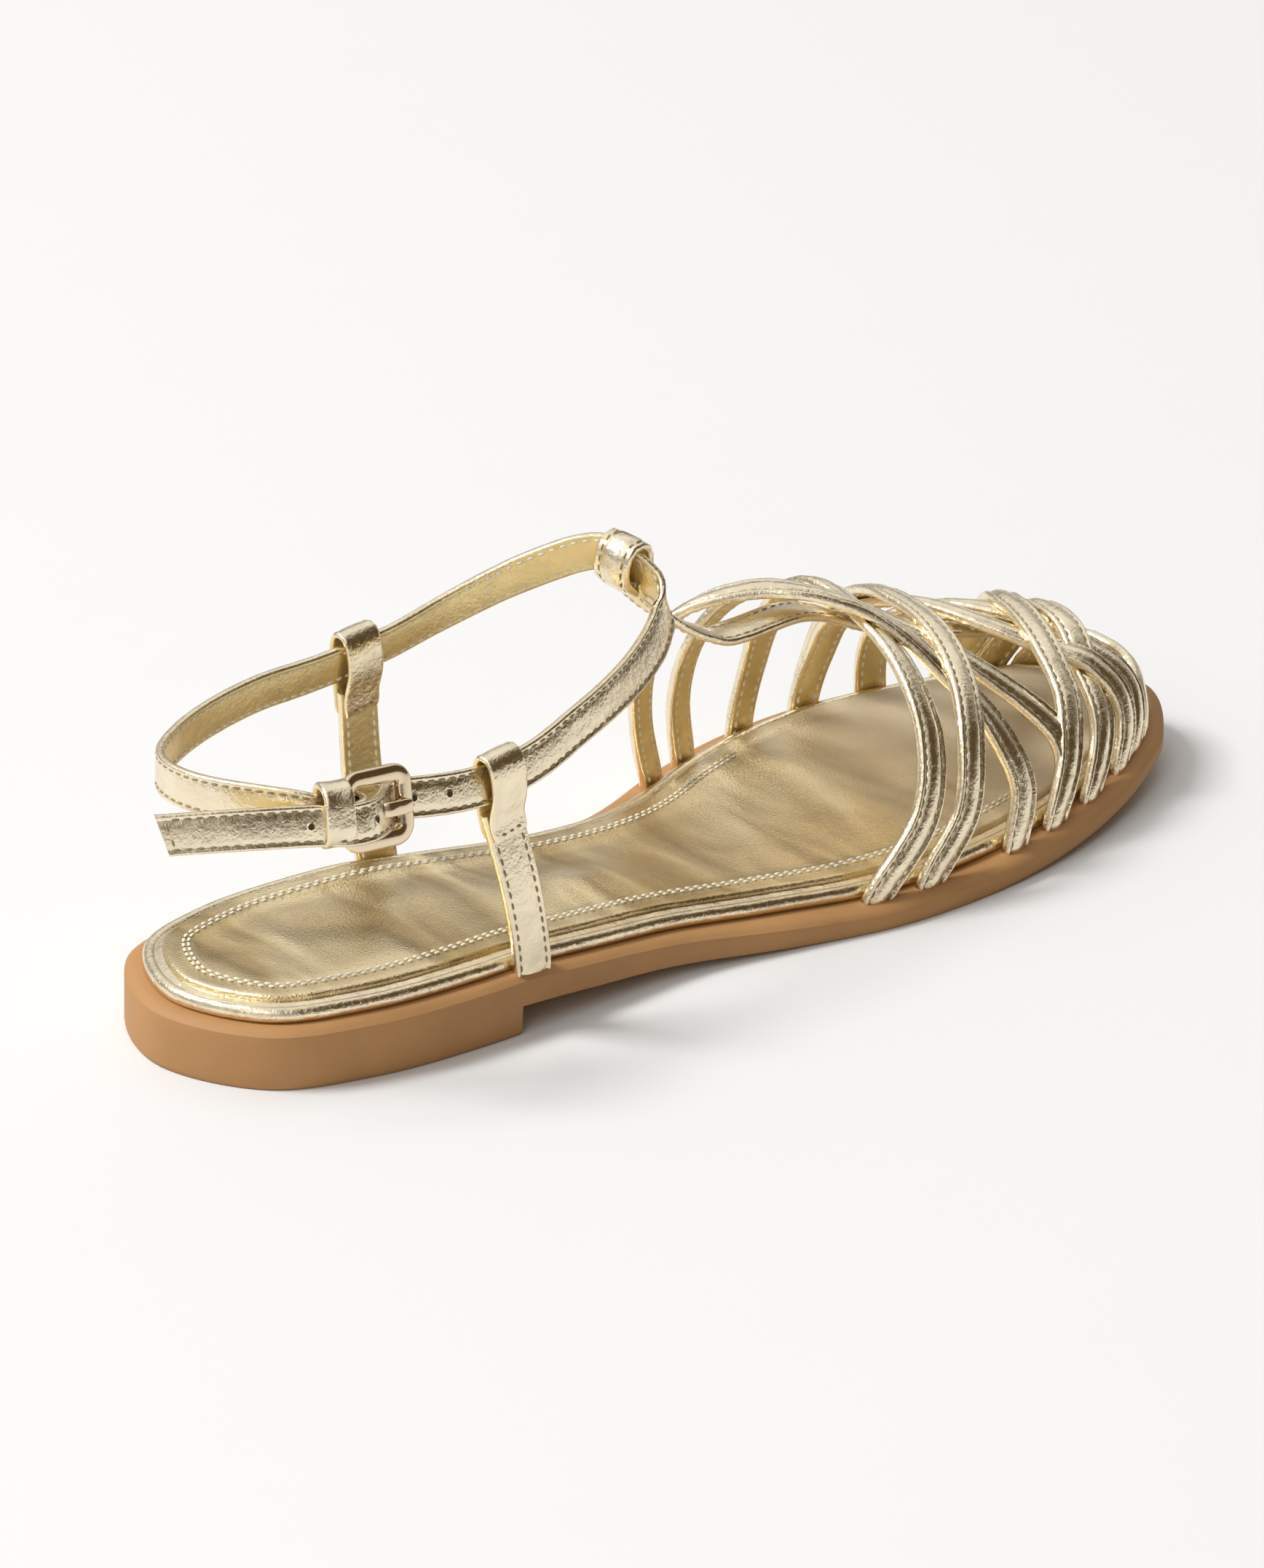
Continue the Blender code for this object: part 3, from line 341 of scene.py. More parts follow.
# Outsole: how far inside its outline, and the share of the wall's height, then of the bevel's
SOLE_PROFILE = (
    (TREAD_ROUNDING, 0.0, 0.0), (0.14, 0.03, 0.0), (0.0, 0.10, 0.0), (0.0, 0.40, 0.0),
    (0.0, 0.70, 0.0), (0.0, 0.94, 0.0), (0.12, 1.0, 0.14), (WALL_BEVEL * 0.5, 1.0, 0.60),
    (WALL_BEVEL * 0.92, 1.0, 0.96), (WALL_BEVEL * 1.3, 1.0, 1.0), (WALL_BEVEL * 2.6, 1.0, 1.0),
)

# Padded sock: how far inside its edge, and how high over the board
SOCK_PROFILE = (
    (0.0, 0.0), (-0.02, 0.45), (0.10, 0.85), (0.42, 1.16), (0.9, 1.28), (1.8, 1.34),
    (3.0, 1.32), (3.6, 1.24), (4.15, 1.12), (4.65, 1.20), (5.15, 1.12), (5.7, 1.28),
    (6.6, 1.50), (8.2, 1.68),
)
SOCK_SHARES = (0.12, 0.25, 0.38, 0.51, 0.64, 0.77, 0.89)

# Folds pressed into the sock by wear: place along and across, direction, length, width, depth
SOCK_FOLDS = (
    (104, 2, 66, 20, 7.5, 1.00), (118, -6, 48, 24, 8.0, 0.85), (131, 8, 80, 22, 7.0, 0.90),
    (146, 2, 70, 26, 7.5, 1.00), (160, -4, 58, 26, 8.0, 0.80), (88, -12, 20, 24, 8.0, 0.60),
    (68, 6, 36, 20, 8.0, 0.60), (50, -8, 62, 16, 7.0, 0.70), (174, 6, 84, 24, 7.0, 0.60),
)
FOLD_DEPTH = 0.95
FOLD_LIMIT = 1.2
FOLD_BEND = 0.02
FOLD_START = 1.3
FOLD_FADE = 0.35
HEEL_DENT = (30.0, 0.0, 19.0, 0.75)
TOE_PART = (168.0, 205.0)
SOCK_STITCH_ENDS = (206.0, 170.0)
SOCK_STITCH_ROWS = (4.15, 5.15)
SOCK_STITCH_RISE = 1.34
SOCK_STITCH_PITCH = 2.1
SOCK_STITCH_RADIUS = 0.44
SOCK_CORE = 16
SOCK_DOME = 0.3

OUTLINE_STATIONS = 96
QUARTERS = ((1, 1), (-1, 1), (-1, -1), (1, -1))
STRAP_MATERIALS = ("gold_foil", "gold_foil_lining", "strap_thread", "lining_thread")


def sandal_shift():
    """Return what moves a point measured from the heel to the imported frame."""
    sole_low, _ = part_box("outsole")
    buckle_low, buckle_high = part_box("buckle_frame")
    middle = (buckle_low.y + buckle_high.y) / 2 / MM
    return Vector((sole_low.x / MM, middle - BUCKLE_PLACE[1] * ANKLE_WIDTH, 0.0))


SHIFT = sandal_shift()


def place(point):
    """Move a point from the heel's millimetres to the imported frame's metres."""
    return (point + SHIFT) * MM


def eased(share):
    """Return a share held between 0 and 1, with a soft start and a soft end."""
    share = min(1.0, max(0.0, share))
    return share * share * (3 - 2 * share)


def table_value(table, place, column=1):
    """Read a table's column at a place, with a smooth curve that never overshoots."""
    places = [row[0] for row in table]
    values = [row[column] for row in table]
    if place <= places[0]:
        return values[0]
    if place >= places[-1]:
        return values[-1]
    index = max(i for i in range(len(places) - 1) if places[i] <= place)
    steps = [places[i + 1] - places[i] for i in range(len(places) - 1)]
    slopes = [(values[i + 1] - values[i]) / steps[i] for i in range(len(steps))]

    def tangent(i):
        if i == 0 or i == len(values) - 1:
            return slopes[0] if i == 0 else slopes[-1]
        if slopes[i - 1] * slopes[i] <= 0:
            return 0.0
        return 2 * slopes[i - 1] * slopes[i] / (slopes[i - 1] + slopes[i])

    step = steps[index]
    t = (place - places[index]) / step
    start, end = tangent(index) * step, tangent(index + 1) * step
    low, high = values[index], values[index + 1]
    return ((2 * t ** 3 - 3 * t ** 2 + 1) * low + (t ** 3 - 2 * t ** 2 + t) * start
            + (3 * t ** 2 - 2 * t ** 3) * high + (t ** 3 - t ** 2) * end)


def spline(points, per_span, closed=False):
    """Return points on a centripetal Catmull-Rom curve through the given vectors."""
    points = [Vector(p) for p in points]
    if closed:
        rows = [points[-1]] + points + points[:2]
    else:
        rows = [points[0] * 2 - points[1]] + points + [points[-1] * 2 - points[-2]]
    result = []
    for i in range(1, len(rows) - 2):
        p0, p1, p2, p3 = rows[i - 1:i + 3]
        t1 = (p1 - p0).length ** 0.5
        t2 = t1 + (p2 - p1).length ** 0.5
        t3 = t2 + (p3 - p2).length ** 0.5
        for k in range(per_span):
            t = t1 + (t2 - t1) * k / per_span
            a1 = p0 * (t1 - t) / t1 + p1 * t / t1
            a2 = p1 * (t2 - t) / (t2 - t1) + p2 * (t - t1) / (t2 - t1)
            a3 = p2 * (t3 - t) / (t3 - t2) + p3 * (t - t2) / (t3 - t2)
            b1 = a1 * (t2 - t) / t2 + a2 * t / t2
            b2 = a2 * (t3 - t) / (t3 - t1) + a3 * (t - t1) / (t3 - t1)
            result.append(b1 * (t2 - t) / (t2 - t1) + b2 * (t - t1) / (t2 - t1))
    if not closed:
        result.append(points[-1])
    return result


def distances(points):
    """Return each point's distance along a line of points."""
    lengths = [0.0]
    for a, b in zip(points, points[1:]):
        lengths.append(lengths[-1] + (b - a).length)
    return lengths


def spots_at(lengths, targets):
    """Return the span, and the share of it, at each target distance along a line."""
    spots = []
    index = 0
    for target in targets:
        while index < len(lengths) - 2 and lengths[index + 1] < target:
            index += 1
        span = lengths[index + 1] - lengths[index]
        spots.append((index, min(1.0, (target - lengths[index]) / span) if span else 0.0))
    return spots


def even_spots(points, spacing, least=2):
    """Return the spots of even steps of about the given spacing."""
    lengths = distances(points)
    count = max(least, round(lengths[-1] / spacing))
    return spots_at(lengths, [lengths[-1] * k / count for k in range(count + 1)])


def resample(points, spacing):
    """Return the polyline's points at even steps of about the given spacing."""
    return [points[i].lerp(points[i + 1], t) for i, t in even_spots(points, spacing)]


def directions(path, closed=False):
    """Return the way that a path runs at each of its points."""
    last = len(path) - 1
    ways = []
    for i in range(last + 1):
        before = path[i - 1] if i or closed else path[0]
        after = path[(i + 1) % len(path)] if i < last or closed else path[last]
        ways.append((after - before).normalized())
    return ways


def sole_curve():
    """Return the outsole's closed outline, dense, from the heel along the lateral side."""
    lateral = [(along * SOLE_LENGTH, -out * BALL_WIDTH, 0) for along, out, _ in SOLE_OUTLINE]
    medial = [(along * SOLE_LENGTH, out * BALL_WIDTH, 0) for along, _, out in SOLE_OUTLINE]
    points = [(0, 0, 0)] + lateral + [(SOLE_LENGTH, TOE_TIP_SHIFT, 0)] + medial[::-1]
    return spline(points, 16, closed=True)


SOLE_CURVE = sole_curve()


@lru_cache(maxsize=None)
def side_halves(inset):
    """Return the outline's two sides, heel to toe, moved inward by the inset.

    What stands inside the ledge moves in further where the ledge widens to the forepart.
    """
    count = len(SOLE_CURVE)
    moved = []
    for i, point in enumerate(SOLE_CURVE):
        way = SOLE_CURVE[(i + 1) % count] - SOLE_CURVE[i - 1]
        inward = Vector((-way.y, way.x, 0)).normalized()
        share = eased((point.x - WIDENING_START) / (WIDENING_END - WIDENING_START))
        widening = LEDGE_WIDENING * share if inset > WALL_BEVEL else 0.0
        moved.append(point + inward * (inset + widening))
    toe = max(range(count), key=lambda i: moved[i].x)
    return moved[:toe + 1], [moved[0]] + moved[:toe - 1:-1]


def edge_at(inset, x, lateral):
    """Return how far across the inset outline lies at x."""
    side = side_halves(inset)[0 if lateral else 1]
    if x <= side[0].x:
        return side[0].y
    for a, b in zip(side, side[1:]):
        if a.x <= x <= b.x:
            share = (x - a.x) / (b.x - a.x) if b.x > a.x else 0.0
            return a.y + (b.y - a.y) * share
    return side[-1].y


def sole_bottom(x):
    """Return the height of the outsole's underside at x."""
    if x <= BREAST_AT:
        return 0.0
    if x < TREAD_START:
        u = (TREAD_START - x) / (TREAD_START - BREAST_AT)
        return BREAST_STEP * (eased(u) + u * u) / 2
    if x <= TREAD_END:
        return 0.0
    u = (x - TREAD_END) / (SOLE_LENGTH - TREAD_END)
    return TOE_SPRING * u * u


def sole_top(x):
    """Return the height of the outsole's upper ledge at x."""
    drop = table_value(SOLE_DROP, x / SOLE_LENGTH)
    rise = 0.0
    if x > TREAD_END:
        u = (x - TREAD_END) / (SOLE_LENGTH - TREAD_END)
        rise = (TOE_SPRING - 0.35 * FOREPART_THICKNESS) * u * u
    return FOREPART_THICKNESS + (HEEL_HEIGHT - FOREPART_THICKNESS) * drop + rise


def last_point(x, across):
    """Return the point of the foot's upper surface, inside the straps."""
    x = min(x, SOLE_LENGTH * VAMP_RIDGE[-1][0])
    place = x / SOLE_LENGTH
    base = sole_top(x)
    height = table_value(VAMP_RIDGE, place, 1) * VAMP_HEIGHT
    ridge = table_value(VAMP_RIDGE, place, 2) * BALL_WIDTH
    inset = FOOT_INSET + STRAP_THICKNESS
    edge = edge_at(inset, x, across < 0.5)
    angle = across * pi
    lean = abs(cos(angle)) ** VAMP_BOW if 0 <= across <= 1 else 1.0
    rise = abs(sin(angle)) ** VAMP_DOME
    if not 0 <= across <= 1:
        rise = -rise
    return Vector((x, ridge + (edge - ridge) * lean, base + height * rise))


def last_normal(x, across):
    """Return the outward normal of the foot's upper surface."""
    across = min(max(across, 0.012), 0.988)
    along = last_point(x + 1.0, across) - last_point(x - 1.0, across)
    over = last_point(x, across + 0.01) - last_point(x, across - 0.01)
    return over.cross(along).normalized() * -1


def chart_curve(points):
    """Return a strap's curve as (x, across) pairs, dense."""
    rows = [Vector((along * SOLE_LENGTH, across * 100, 0)) for along, across in points]
    return [(p.x, p.y / 100) for p in spline(rows, per_span=6)]


def crossing(first, second):
    """Return the ways across where two chart curves meet, or None."""
    for (x1, t1), (x2, t2) in zip(first, first[1:]):
        for (x3, t3), (x4, t4) in zip(second, second[1:]):
            turn = (x2 - x1) * (t4 - t3) - (t2 - t1) * (x4 - x3)
            if abs(turn) < 1e-9:
                continue
            s = ((x3 - x1) * (t4 - t3) - (t3 - t1) * (x4 - x3)) / turn
            u = ((x3 - x1) * (t2 - t1) - (t3 - t1) * (x2 - x1)) / turn
            if 0 <= s <= 1 and 0 <= u <= 1 and 0.05 < t1 < 0.95:
                return t1 + (t2 - t1) * s, t3 + (t4 - t3) * u
    return None


def weave_levels(curves):
    """Return each strap's table of (way across, level) from the order of the weave."""
    levels = {name: [(0.0, 0.0), (1.0, 0.0)] for name in curves}
    for over, under in WEAVE_OVER:
        meeting = crossing(curves[over], curves[under])
        if meeting:
            levels[over].append((meeting[0], 1.0))
            levels[under].append((meeting[1], 0.0))
    for rows in levels.values():
        if all(across < WEAVE_SETTLES - 0.1 for across, level in rows[2:]):
            rows.append((WEAVE_SETTLES, 0.0))
    return {name: sorted(rows) for name, rows in levels.items()}


def strap_lift(x, across, levels):
    """Return how far a strap's inner face stands off the foot, over the middle strap's end too."""
    past_end = (x / SOLE_LENGTH - T_STRAP[0][0]) / BASE_FADE
    near_ridge = max(0.0, 1.0 - abs(across - 0.5) / BASE_REACH)
    base = eased(near_ridge * (1.0 - min(1.0, max(0.0, past_end))))
    for (t0, level0), (t1, level1) in zip(levels, levels[1:]):
        if t0 <= across <= t1:
            share = eased((across - t0) / (t1 - t0)) if t1 > t0 else 0.0
            return WEAVE_BASE * base + WEAVE_STEP * (level0 + (level1 - level0) * share)
    return 0.0


def nearest_normal(point, curve):
    """Return the foot's normal at the curve's point that lies nearest."""
    x, across = min(curve, key=lambda c: (last_point(*c) - point).length_squared)
    return last_normal(x, across)


def ankle_point(place):
    """Turn an ankle place's shares into a point."""
    along, across, up = place
    return Vector((along * SOLE_LENGTH, across * ANKLE_WIDTH, up * ANKLE_HEIGHT))


def frame_along(way):
    """Return the outward and upward axes of a strap that runs along a way."""
    side = (Vector((0, 0, 1)) - way * way.z).normalized()
    return way.cross(side).normalized(), side


def ankle_path():
    """Return the ankle strap's middle line, and the middles of its buckle, bar and keeper."""
    buckle = ankle_point(BUCKLE_PLACE)
    bar_offset = BUCKLE_LENGTH / 2 - FRAME_WIDTH / 2
    wrap = HINGE_BAR / 2 + GAP + ANKLE_STRAP_THICKNESS / 2
    outside = wrap + ANKLE_STRAP_THICKNESS + 2 * GAP
    inside = FRAME_THICKNESS / 2 + GAP + ANKLE_STRAP_THICKNESS / 2
    bar = buckle - Vector((bar_offset, 0, 0))
    keeper = bar - Vector((KEEPER_AT, 0, 0))

    run = [ankle_point(p) for p in TAIL_END]
    run += [keeper + Vector((0, -outside * TAIL_NEAR_KEEPER, 0)),
            bar + Vector((-0.5 * wrap, -outside, 0)),
            bar + Vector((0.6 * wrap, -outside, 0)),
            buckle + Vector((0.09 * BUCKLE_LENGTH, -outside * 0.30, -0.9)),
            buckle + Vector((bar_offset - FRAME_WIDTH * 0.6, inside, -1.2)),
            buckle + Vector((bar_offset + FRAME_WIDTH * 0.6, inside, -1.7))]
    run += [ankle_point(p) for p in (
        *STRAP_TO_LATERAL_LOOP, LATERAL_LOOP_PLACE, *STRAP_TO_T_LOOP, T_LOOP_PLACE,
        *STRAP_TO_MEDIAL_LOOP, MEDIAL_LOOP_PLACE, *STRAP_ROUND_HEEL)]
    run += [keeper + Vector((0, wrap, BAND_RISE_AT_KEEPER)), bar + Vector((-2.0, wrap, 0))]
    path = resample(spline(run, per_span=10), 4.5)
    for k in range(WRAP_STEPS + 1):
        angle = pi / 2 - k * pi / WRAP_STEPS
        path.append(bar + Vector((wrap * cos(angle), wrap * sin(angle), 0)))
    path.append(bar + Vector((-WRAP_LAP, -wrap, 0)))
    return path, buckle, bar, keeper


def way_through(centre):
    """Return the ankle strap's direction where it passes a loop's centre."""
    path = ankle_path()[0]
    index = min(range(len(path)), key=lambda i: (path[i] - centre).length_squared)
    return (path[index + 1] - path[index - 1]).normalized()


def rolled(axes, degrees):
    """Lean a strap's outward and upward axes back, as it lies on the ankle."""
    out, up = axes
    c, s = cos(radians(degrees)), sin(radians(degrees))
    return out * c + up * s, up * c - out * s


def along_strap(path, outs, closed=False):
    """Return a strap's stations: point, side, outward and forward axes."""
    stations = []
    for point, out, way in zip(path, outs, directions(path, closed)):
        side = way.cross(out).normalized()
        stations.append((point, side, side.cross(way).normalized(), way))
    return stations


def even_steps(path, outs, spacing):
    """Return a path and its outward axes at even steps."""
    spots = even_spots(path, spacing, 3)
    return ([path[i].lerp(path[i + 1], t) for i, t in spots],
            [outs[i].lerp(outs[i + 1], t).normalized() for i, t in spots])


def rounded_corners(half_wide, half_high, corner, steps):
    """Return a rounded rectangle's corners, each as a row of points from its centre."""
    rows = []
    for quarter, (sx, sy) in enumerate(QUARTERS):
        turns = [(quarter + k / steps) * pi / 2 for k in range(steps + 1)]
        rows.append([(sx * (half_wide - corner) + corner * cos(turn),
                      sy * (half_high - corner) + corner * sin(turn)) for turn in turns])
    return rows


def whole_section(half):
    """Return a strap's closed section from its half, and which of its sides face the foot."""
    mirrored = [(-s, h) for s, h in half[::-1] if s]
    section = list(half) + mirrored
    lining = len(half) - 4
    inner = [lining <= k < len(section) - lining for k in range(len(section))]
    return section, inner


def strap_point(station, across, out, ruffle):
    """Return a point on a strap's surface, with the leather's unevenness."""
    point, side, up, _ = station
    where = point + side * across + up * out
    if out > 0.9 and ruffle:
        wave = noise.noise(where * 0.42) + 0.6 * noise.noise(where * 1.1 + Vector((7, 3, 5)))
        where += up * (wave * ruffle)
    return where


def draw_strap(build, stations, half, ruffle, closed=False, slant=0.0, tuck=0.0):
    """Sweep a strap's section along its stations, with its ends tucked in or cut at a slant."""
    section, inner = whole_section(half)
    width = half[len(half) // 2][0]
    last = len(stations) - 1
    rings = []
    for index, station in enumerate(stations):
        lean = slant * max(0.0, 1.0 - index / 4.0)
        end = 0.0 if closed else tuck * max(0.0, 1.0 - min(index, last - index) / 1.5)
        ring = []
        for s, h in section:
            where = strap_point(station, s * (1.0 - 0.3 * end), h * (1.0 - end), ruffle)
            ring.append(place(where + station[3] * (lean * s / width)))
        rings.append(ring)
    draw_rings(build, rings, closed, inner)


def start_ring(build, ring):
    """Draw a closed row of edges through a ring of points."""
    corners = [build.verts.new(co) for co in ring]
    size = len(corners)
    return corners, [build.edges.new((corners[k], corners[(k + 1) % size])) for k in range(size)]


def grow(build, corners, edges, ring, inner=None):
    """Extrude a closed row of edges to the next ring's places."""
    size = len(corners)
    grown = bmesh.ops.extrude_edge_only(build, edges=edges)["geom"]
    fresh = {part for part in grown if isinstance(part, bmesh.types.BMVert)}
    moved = []
    for corner, where in zip(corners, ring):
        twin = next(e.other_vert(corner) for e in corner.link_edges if e.other_vert(corner) in fresh)
        twin.co = where
        moved.append(twin)
    next_edges = [build.edges.get((moved[k], moved[(k + 1) % size])) for k in range(size)]
    if inner:
        for edge, lined in zip(next_edges, inner):
            edge.link_faces[0].material_index = 1 if lined else 0
    return moved, next_edges


def flat_cap(build, corners, edges):
    """Close a ring with one face."""
    bmesh.ops.contextual_create(build, geom=edges)


def ribbed_cap(build, corners, edges):
    """Close an outline with ribs straight across the shoe."""
    made = bmesh.ops.contextual_create(build, geom=edges)["faces"]
    rest = made[0]
    half = len(corners) // 2
    toe = corners[half]
    for k in range(1, half):
        fresh, _ = bmesh.utils.face_split(rest, corners[k], corners[-k])
        rest = fresh if toe in fresh.verts else rest


def draw_rings(build, rings, joined=False, inner=None, cap=flat_cap):
    """Draw a tube through rings of points, closed on itself or capped at both ends."""
    start = start_ring(build, rings[0])
    corners, edges = start
    for ring in rings[1:] + (rings[:1] if joined else []):
        corners, edges = grow(build, corners, edges, ring, inner)
    if joined:
        bmesh.ops.remove_doubles(build, verts=start[0] + corners, dist=1e-7)
    else:
        cap(build, *start)
        cap(build, corners, edges)


def paint(made, index):
    """Give a fresh shape's faces the material of an index."""
    for corner in made["verts"]:
        for face in corner.link_faces:
            face.material_index = index


def sew(build, line, ups, settings, index, pitch=None, radius=None):
    """Lay a row of stitches along a line of points."""
    pitch = pitch or settings.stitch_pitch / MM
    radius = radius or settings.stitch_radius / MM
    shape = Matrix.Diagonal((radius * MM, radius * MM * 0.8, pitch * MM * 0.36, 1.0))
    lengths = distances(line)
    count = int(lengths[-1] / pitch)
    targets = [(k + 0.5) * lengths[-1] / count for k in range(count)]
    for i, share in spots_at(lengths, targets):
        way = (line[i + 1] - line[i]).normalized()
        side = way.cross(ups[i].lerp(ups[i + 1], share).normalized()).normalized()
        turn = Matrix((side, side.cross(way).normalized(), way)).transposed().to_4x4()
        spot = Matrix.Translation(place(line[i].lerp(line[i + 1], share)))
        paint(bmesh.ops.create_icosphere(build, subdivisions=1, radius=1.0,
                                         matrix=spot @ turn @ shape), index)


def sew_strap(build, stations, settings, row):
    """Sew both edges of a strap, on its outer side and on its lining."""
    across, out = row
    stations = stations[1:-1]
    for sign in (-1, 1):
        line = [strap_point(s, sign * across, out + 0.05, 0.10) for s in stations]
        sew(build, line, [s[2] for s in stations], settings, 2)
        line = [s[0] + s[1] * (sign * across) - s[2] * 0.02 for s in stations]
        sew(build, line, [-s[2] for s in stations], settings, 3, radius=LINING_STITCH_RADIUS)


def finish_piece(build, name, materials, node, sharp):
    """Turn a drawn piece into an object that rides on the shoe in place of a node."""
    bmesh.ops.recalc_face_normals(build, faces=build.faces)
    mesh = bpy.data.meshes.new(name)
    build.to_mesh(mesh)
    build.free()
    for material in materials:
        mesh.materials.append(material)
    mesh.shade_smooth()
    mesh.set_sharp_from_angle(angle=radians(sharp))
    piece = bpy.data.objects.new(name, mesh)
    bpy.context.scene.collection.objects.link(piece)
    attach(piece, "root")
    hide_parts(node)
    return piece


def finish_leather(build, name, node, settings, sharp=55.0, extra=()):
    """Finish a piece in gold leather, with its lining and its threads."""
    materials = strap_finishes(settings) + list(extra)
    finish_piece(build, name, materials, node, sharp)


def outline_row(inset, height, stations=OUTLINE_STATIONS):
    """Return paired points round an inset outline, from the heel along the lateral side."""
    sides = side_halves(inset)
    start, end = sides[0][0].x, sides[0][-1].x
    places = [start + (end - start) * 0.5 * (1 - cos(pi * k / stations))
              for k in range(1, stations)]
    breast = min(range(len(places)), key=lambda i: abs(places[i] - BREAST_AT))
    places[breast] = BREAST_AT
    places.insert(breast + 1, BREAST_AT + 0.2)
    lateral = [Vector((x, edge_at(inset, x, True), height(x))) for x in places]
    medial = [Vector((x, edge_at(inset, x, False), height(x))) for x in places]
    heel = Vector((start, sides[0][0].y, height(start)))
    toe = Vector((end, sides[0][-1].y, height(end)))
    return [heel] + lateral + [toe] + medial[::-1]


def draw_outline_body(build, rows):
    """Draw a closed body through outline rows, the lowest first."""
    draw_rings(build, [[place(p) for p in row] for row in rows], cap=ribbed_cap)


def wire(tree, node, values):
    """Set each input of a node, or link it where its value is another node's output."""
    for name, value in values.items():
        if isinstance(value, bpy.types.NodeSocket):
            tree.links.new(value, node.inputs[name])
        else:
            node.inputs[name].default_value = value


def add_node(tree, kind, output, values, **choices):
    """Add a node with its choices and inputs, and return one of its outputs."""
    node = tree.nodes.new(kind)
    for name, choice in choices.items():
        setattr(node, name, choice)
    wire(tree, node, values)
    return node.outputs[output]


def new_material(name):
    """Return a new material, its tree and its Object coordinates."""
    material = bpy.data.materials.new(name)
    material.use_nodes = True
    tree = material.node_tree
    return material, tree, add_node(tree, "ShaderNodeTexCoord", "Object", {})


def fill_shader(material, values):
    """Fill the inputs of a material's shader and return the material."""
    tree = material.node_tree
    wire(tree, tree.nodes["Principled BSDF"], values)
    return material


def grain(tree, where, scale, detail=4.0, rough=0.6, warp=0.0):
    """Add a noise texture and return its value."""
    return add_node(tree, "ShaderNodeTexNoise", "Fac", {
        "Vector": where, "Scale": scale, "Detail": detail, "Roughness": rough, "Distortion": warp})


def cells(tree, where, scale):
    """Add a smooth cell texture and return the distance to its edges."""
    return add_node(tree, "ShaderNodeTexVoronoi", "Distance", {"Vector": where, "Scale": scale},
                    feature="DISTANCE_TO_EDGE")


def spread(tree, value, low, high, to_low, to_high):
    """Map a value's range to another and return it."""
    return add_node(tree, "ShaderNodeMapRange", "Result", {
        "Value": value, "From Min": low, "From Max": high, "To Min": to_low, "To Max": to_high})


def blend_colours(tree, value, first, second):
    """Mix two colours, each three numbers or an output, and return the result."""
    ends = [end if isinstance(end, bpy.types.NodeSocket) else (*end, 1.0)
            for end in (first, second)]
    return add_node(tree, "ShaderNodeMix", 2, {0: value, 6: ends[0], 7: ends[1]},
                    data_type="RGBA")


def shaded(tree, value, colour, share):
    """Blend a darker share of a colour into the colour and return the result."""
    return blend_colours(tree, value, tuple(c * share for c in colour), colour)


def relief(tree, height, depth, strength=1.0, below=None):
    """Add a bump of a height in metres over another and return its normal."""
    under = {"Normal": below} if below else {}
    return add_node(tree, "ShaderNodeBump", "Normal", {
        "Height": height, "Distance": depth, "Strength": strength, **under})


def foil_leather(name, colour, rough, metallic, creases=1.0):
    """Return crinkled metallic leather: a soft roll, creases and a fine grain."""
    material, tree, where = new_material(name)
    soft = grain(tree, where, 150.0, 2.0, 0.5, 0.3)
    crease = grain(tree, where, 700.0, 5.0, 0.62, 0.8)
    cracks = cells(tree, where, 1100.0)
    fine = grain(tree, where, 2600.0, 3.0, 0.7)
    normal = relief(tree, soft, 0.00050 * creases, 0.7)
    normal = relief(tree, crease, 0.00018 * creases, 0.8, normal)
    normal = relief(tree, cracks, 0.00009 * creases, 0.7, normal)
    normal = relief(tree, fine, 0.000025, 0.5, normal)
    return fill_shader(material, {
        "Base Color": shaded(tree, spread(tree, soft, 0.35, 0.65, 0.0, 1.0), colour, 0.90),
        "Roughness": spread(tree, crease, 0.3, 0.7, rough - 0.04, rough + 0.06),
        "Metallic": metallic, "Normal": normal})


def sock_leather(name, colour, toe_colour, rough, metallic):
    """Return the sock's smooth foil, with painted shade in its folds, which turns matte and grained
    under the toes.
    """
    material, tree, where = new_material(name)
    across = add_node(tree, "ShaderNodeVectorMath", "Vector", {0: where, 1: (1.0, 0.30, 1.0)},
                      operation="MULTIPLY")
    cloud = grain(tree, where, 30.0, 2.0, 0.4, 0.2)
    folds = grain(tree, across, 62.0, 1.5, 0.45, 0.5)
    fine = grain(tree, where, 1500.0, 4.0, 0.7)
    pores = cells(tree, where, 1300.0)
    low, high = ((x + SHIFT.x) * MM for x in TOE_PART)
    along = add_node(tree, "ShaderNodeSeparateXYZ", "X", {"Vector": where})
    toe = spread(tree, along, low, high, 0.0, 1.0)
    # Painted shade: the foil blends towards this darker colour where the fold noise, which also
    # bumps the sock, runs low, so the folds' hollows carry painted shade.
    painted_shade = (colour[0] * 0.66, colour[1] * 0.59, colour[2] * 0.46)
    gold = blend_colours(tree, spread(tree, folds, 0.34, 0.60, 0.0, 1.0), painted_shade, colour)
    normal = relief(tree, cloud, 0.0045, 0.8)
    normal = relief(tree, folds, 0.0042, 0.8, normal)
    normal = relief(tree, pores, 0.00016, 0.8, normal)
    normal = relief(tree, fine, 0.00014, 0.7, normal)
    return fill_shader(material, {
        "Base Color": blend_colours(tree, toe, gold, toe_colour),
        "Metallic": spread(tree, toe, 0.0, 1.0, metallic, 0.30),
        "Roughness": spread(tree, toe, 0.0, 1.0, rough, 0.55), "Normal": normal})


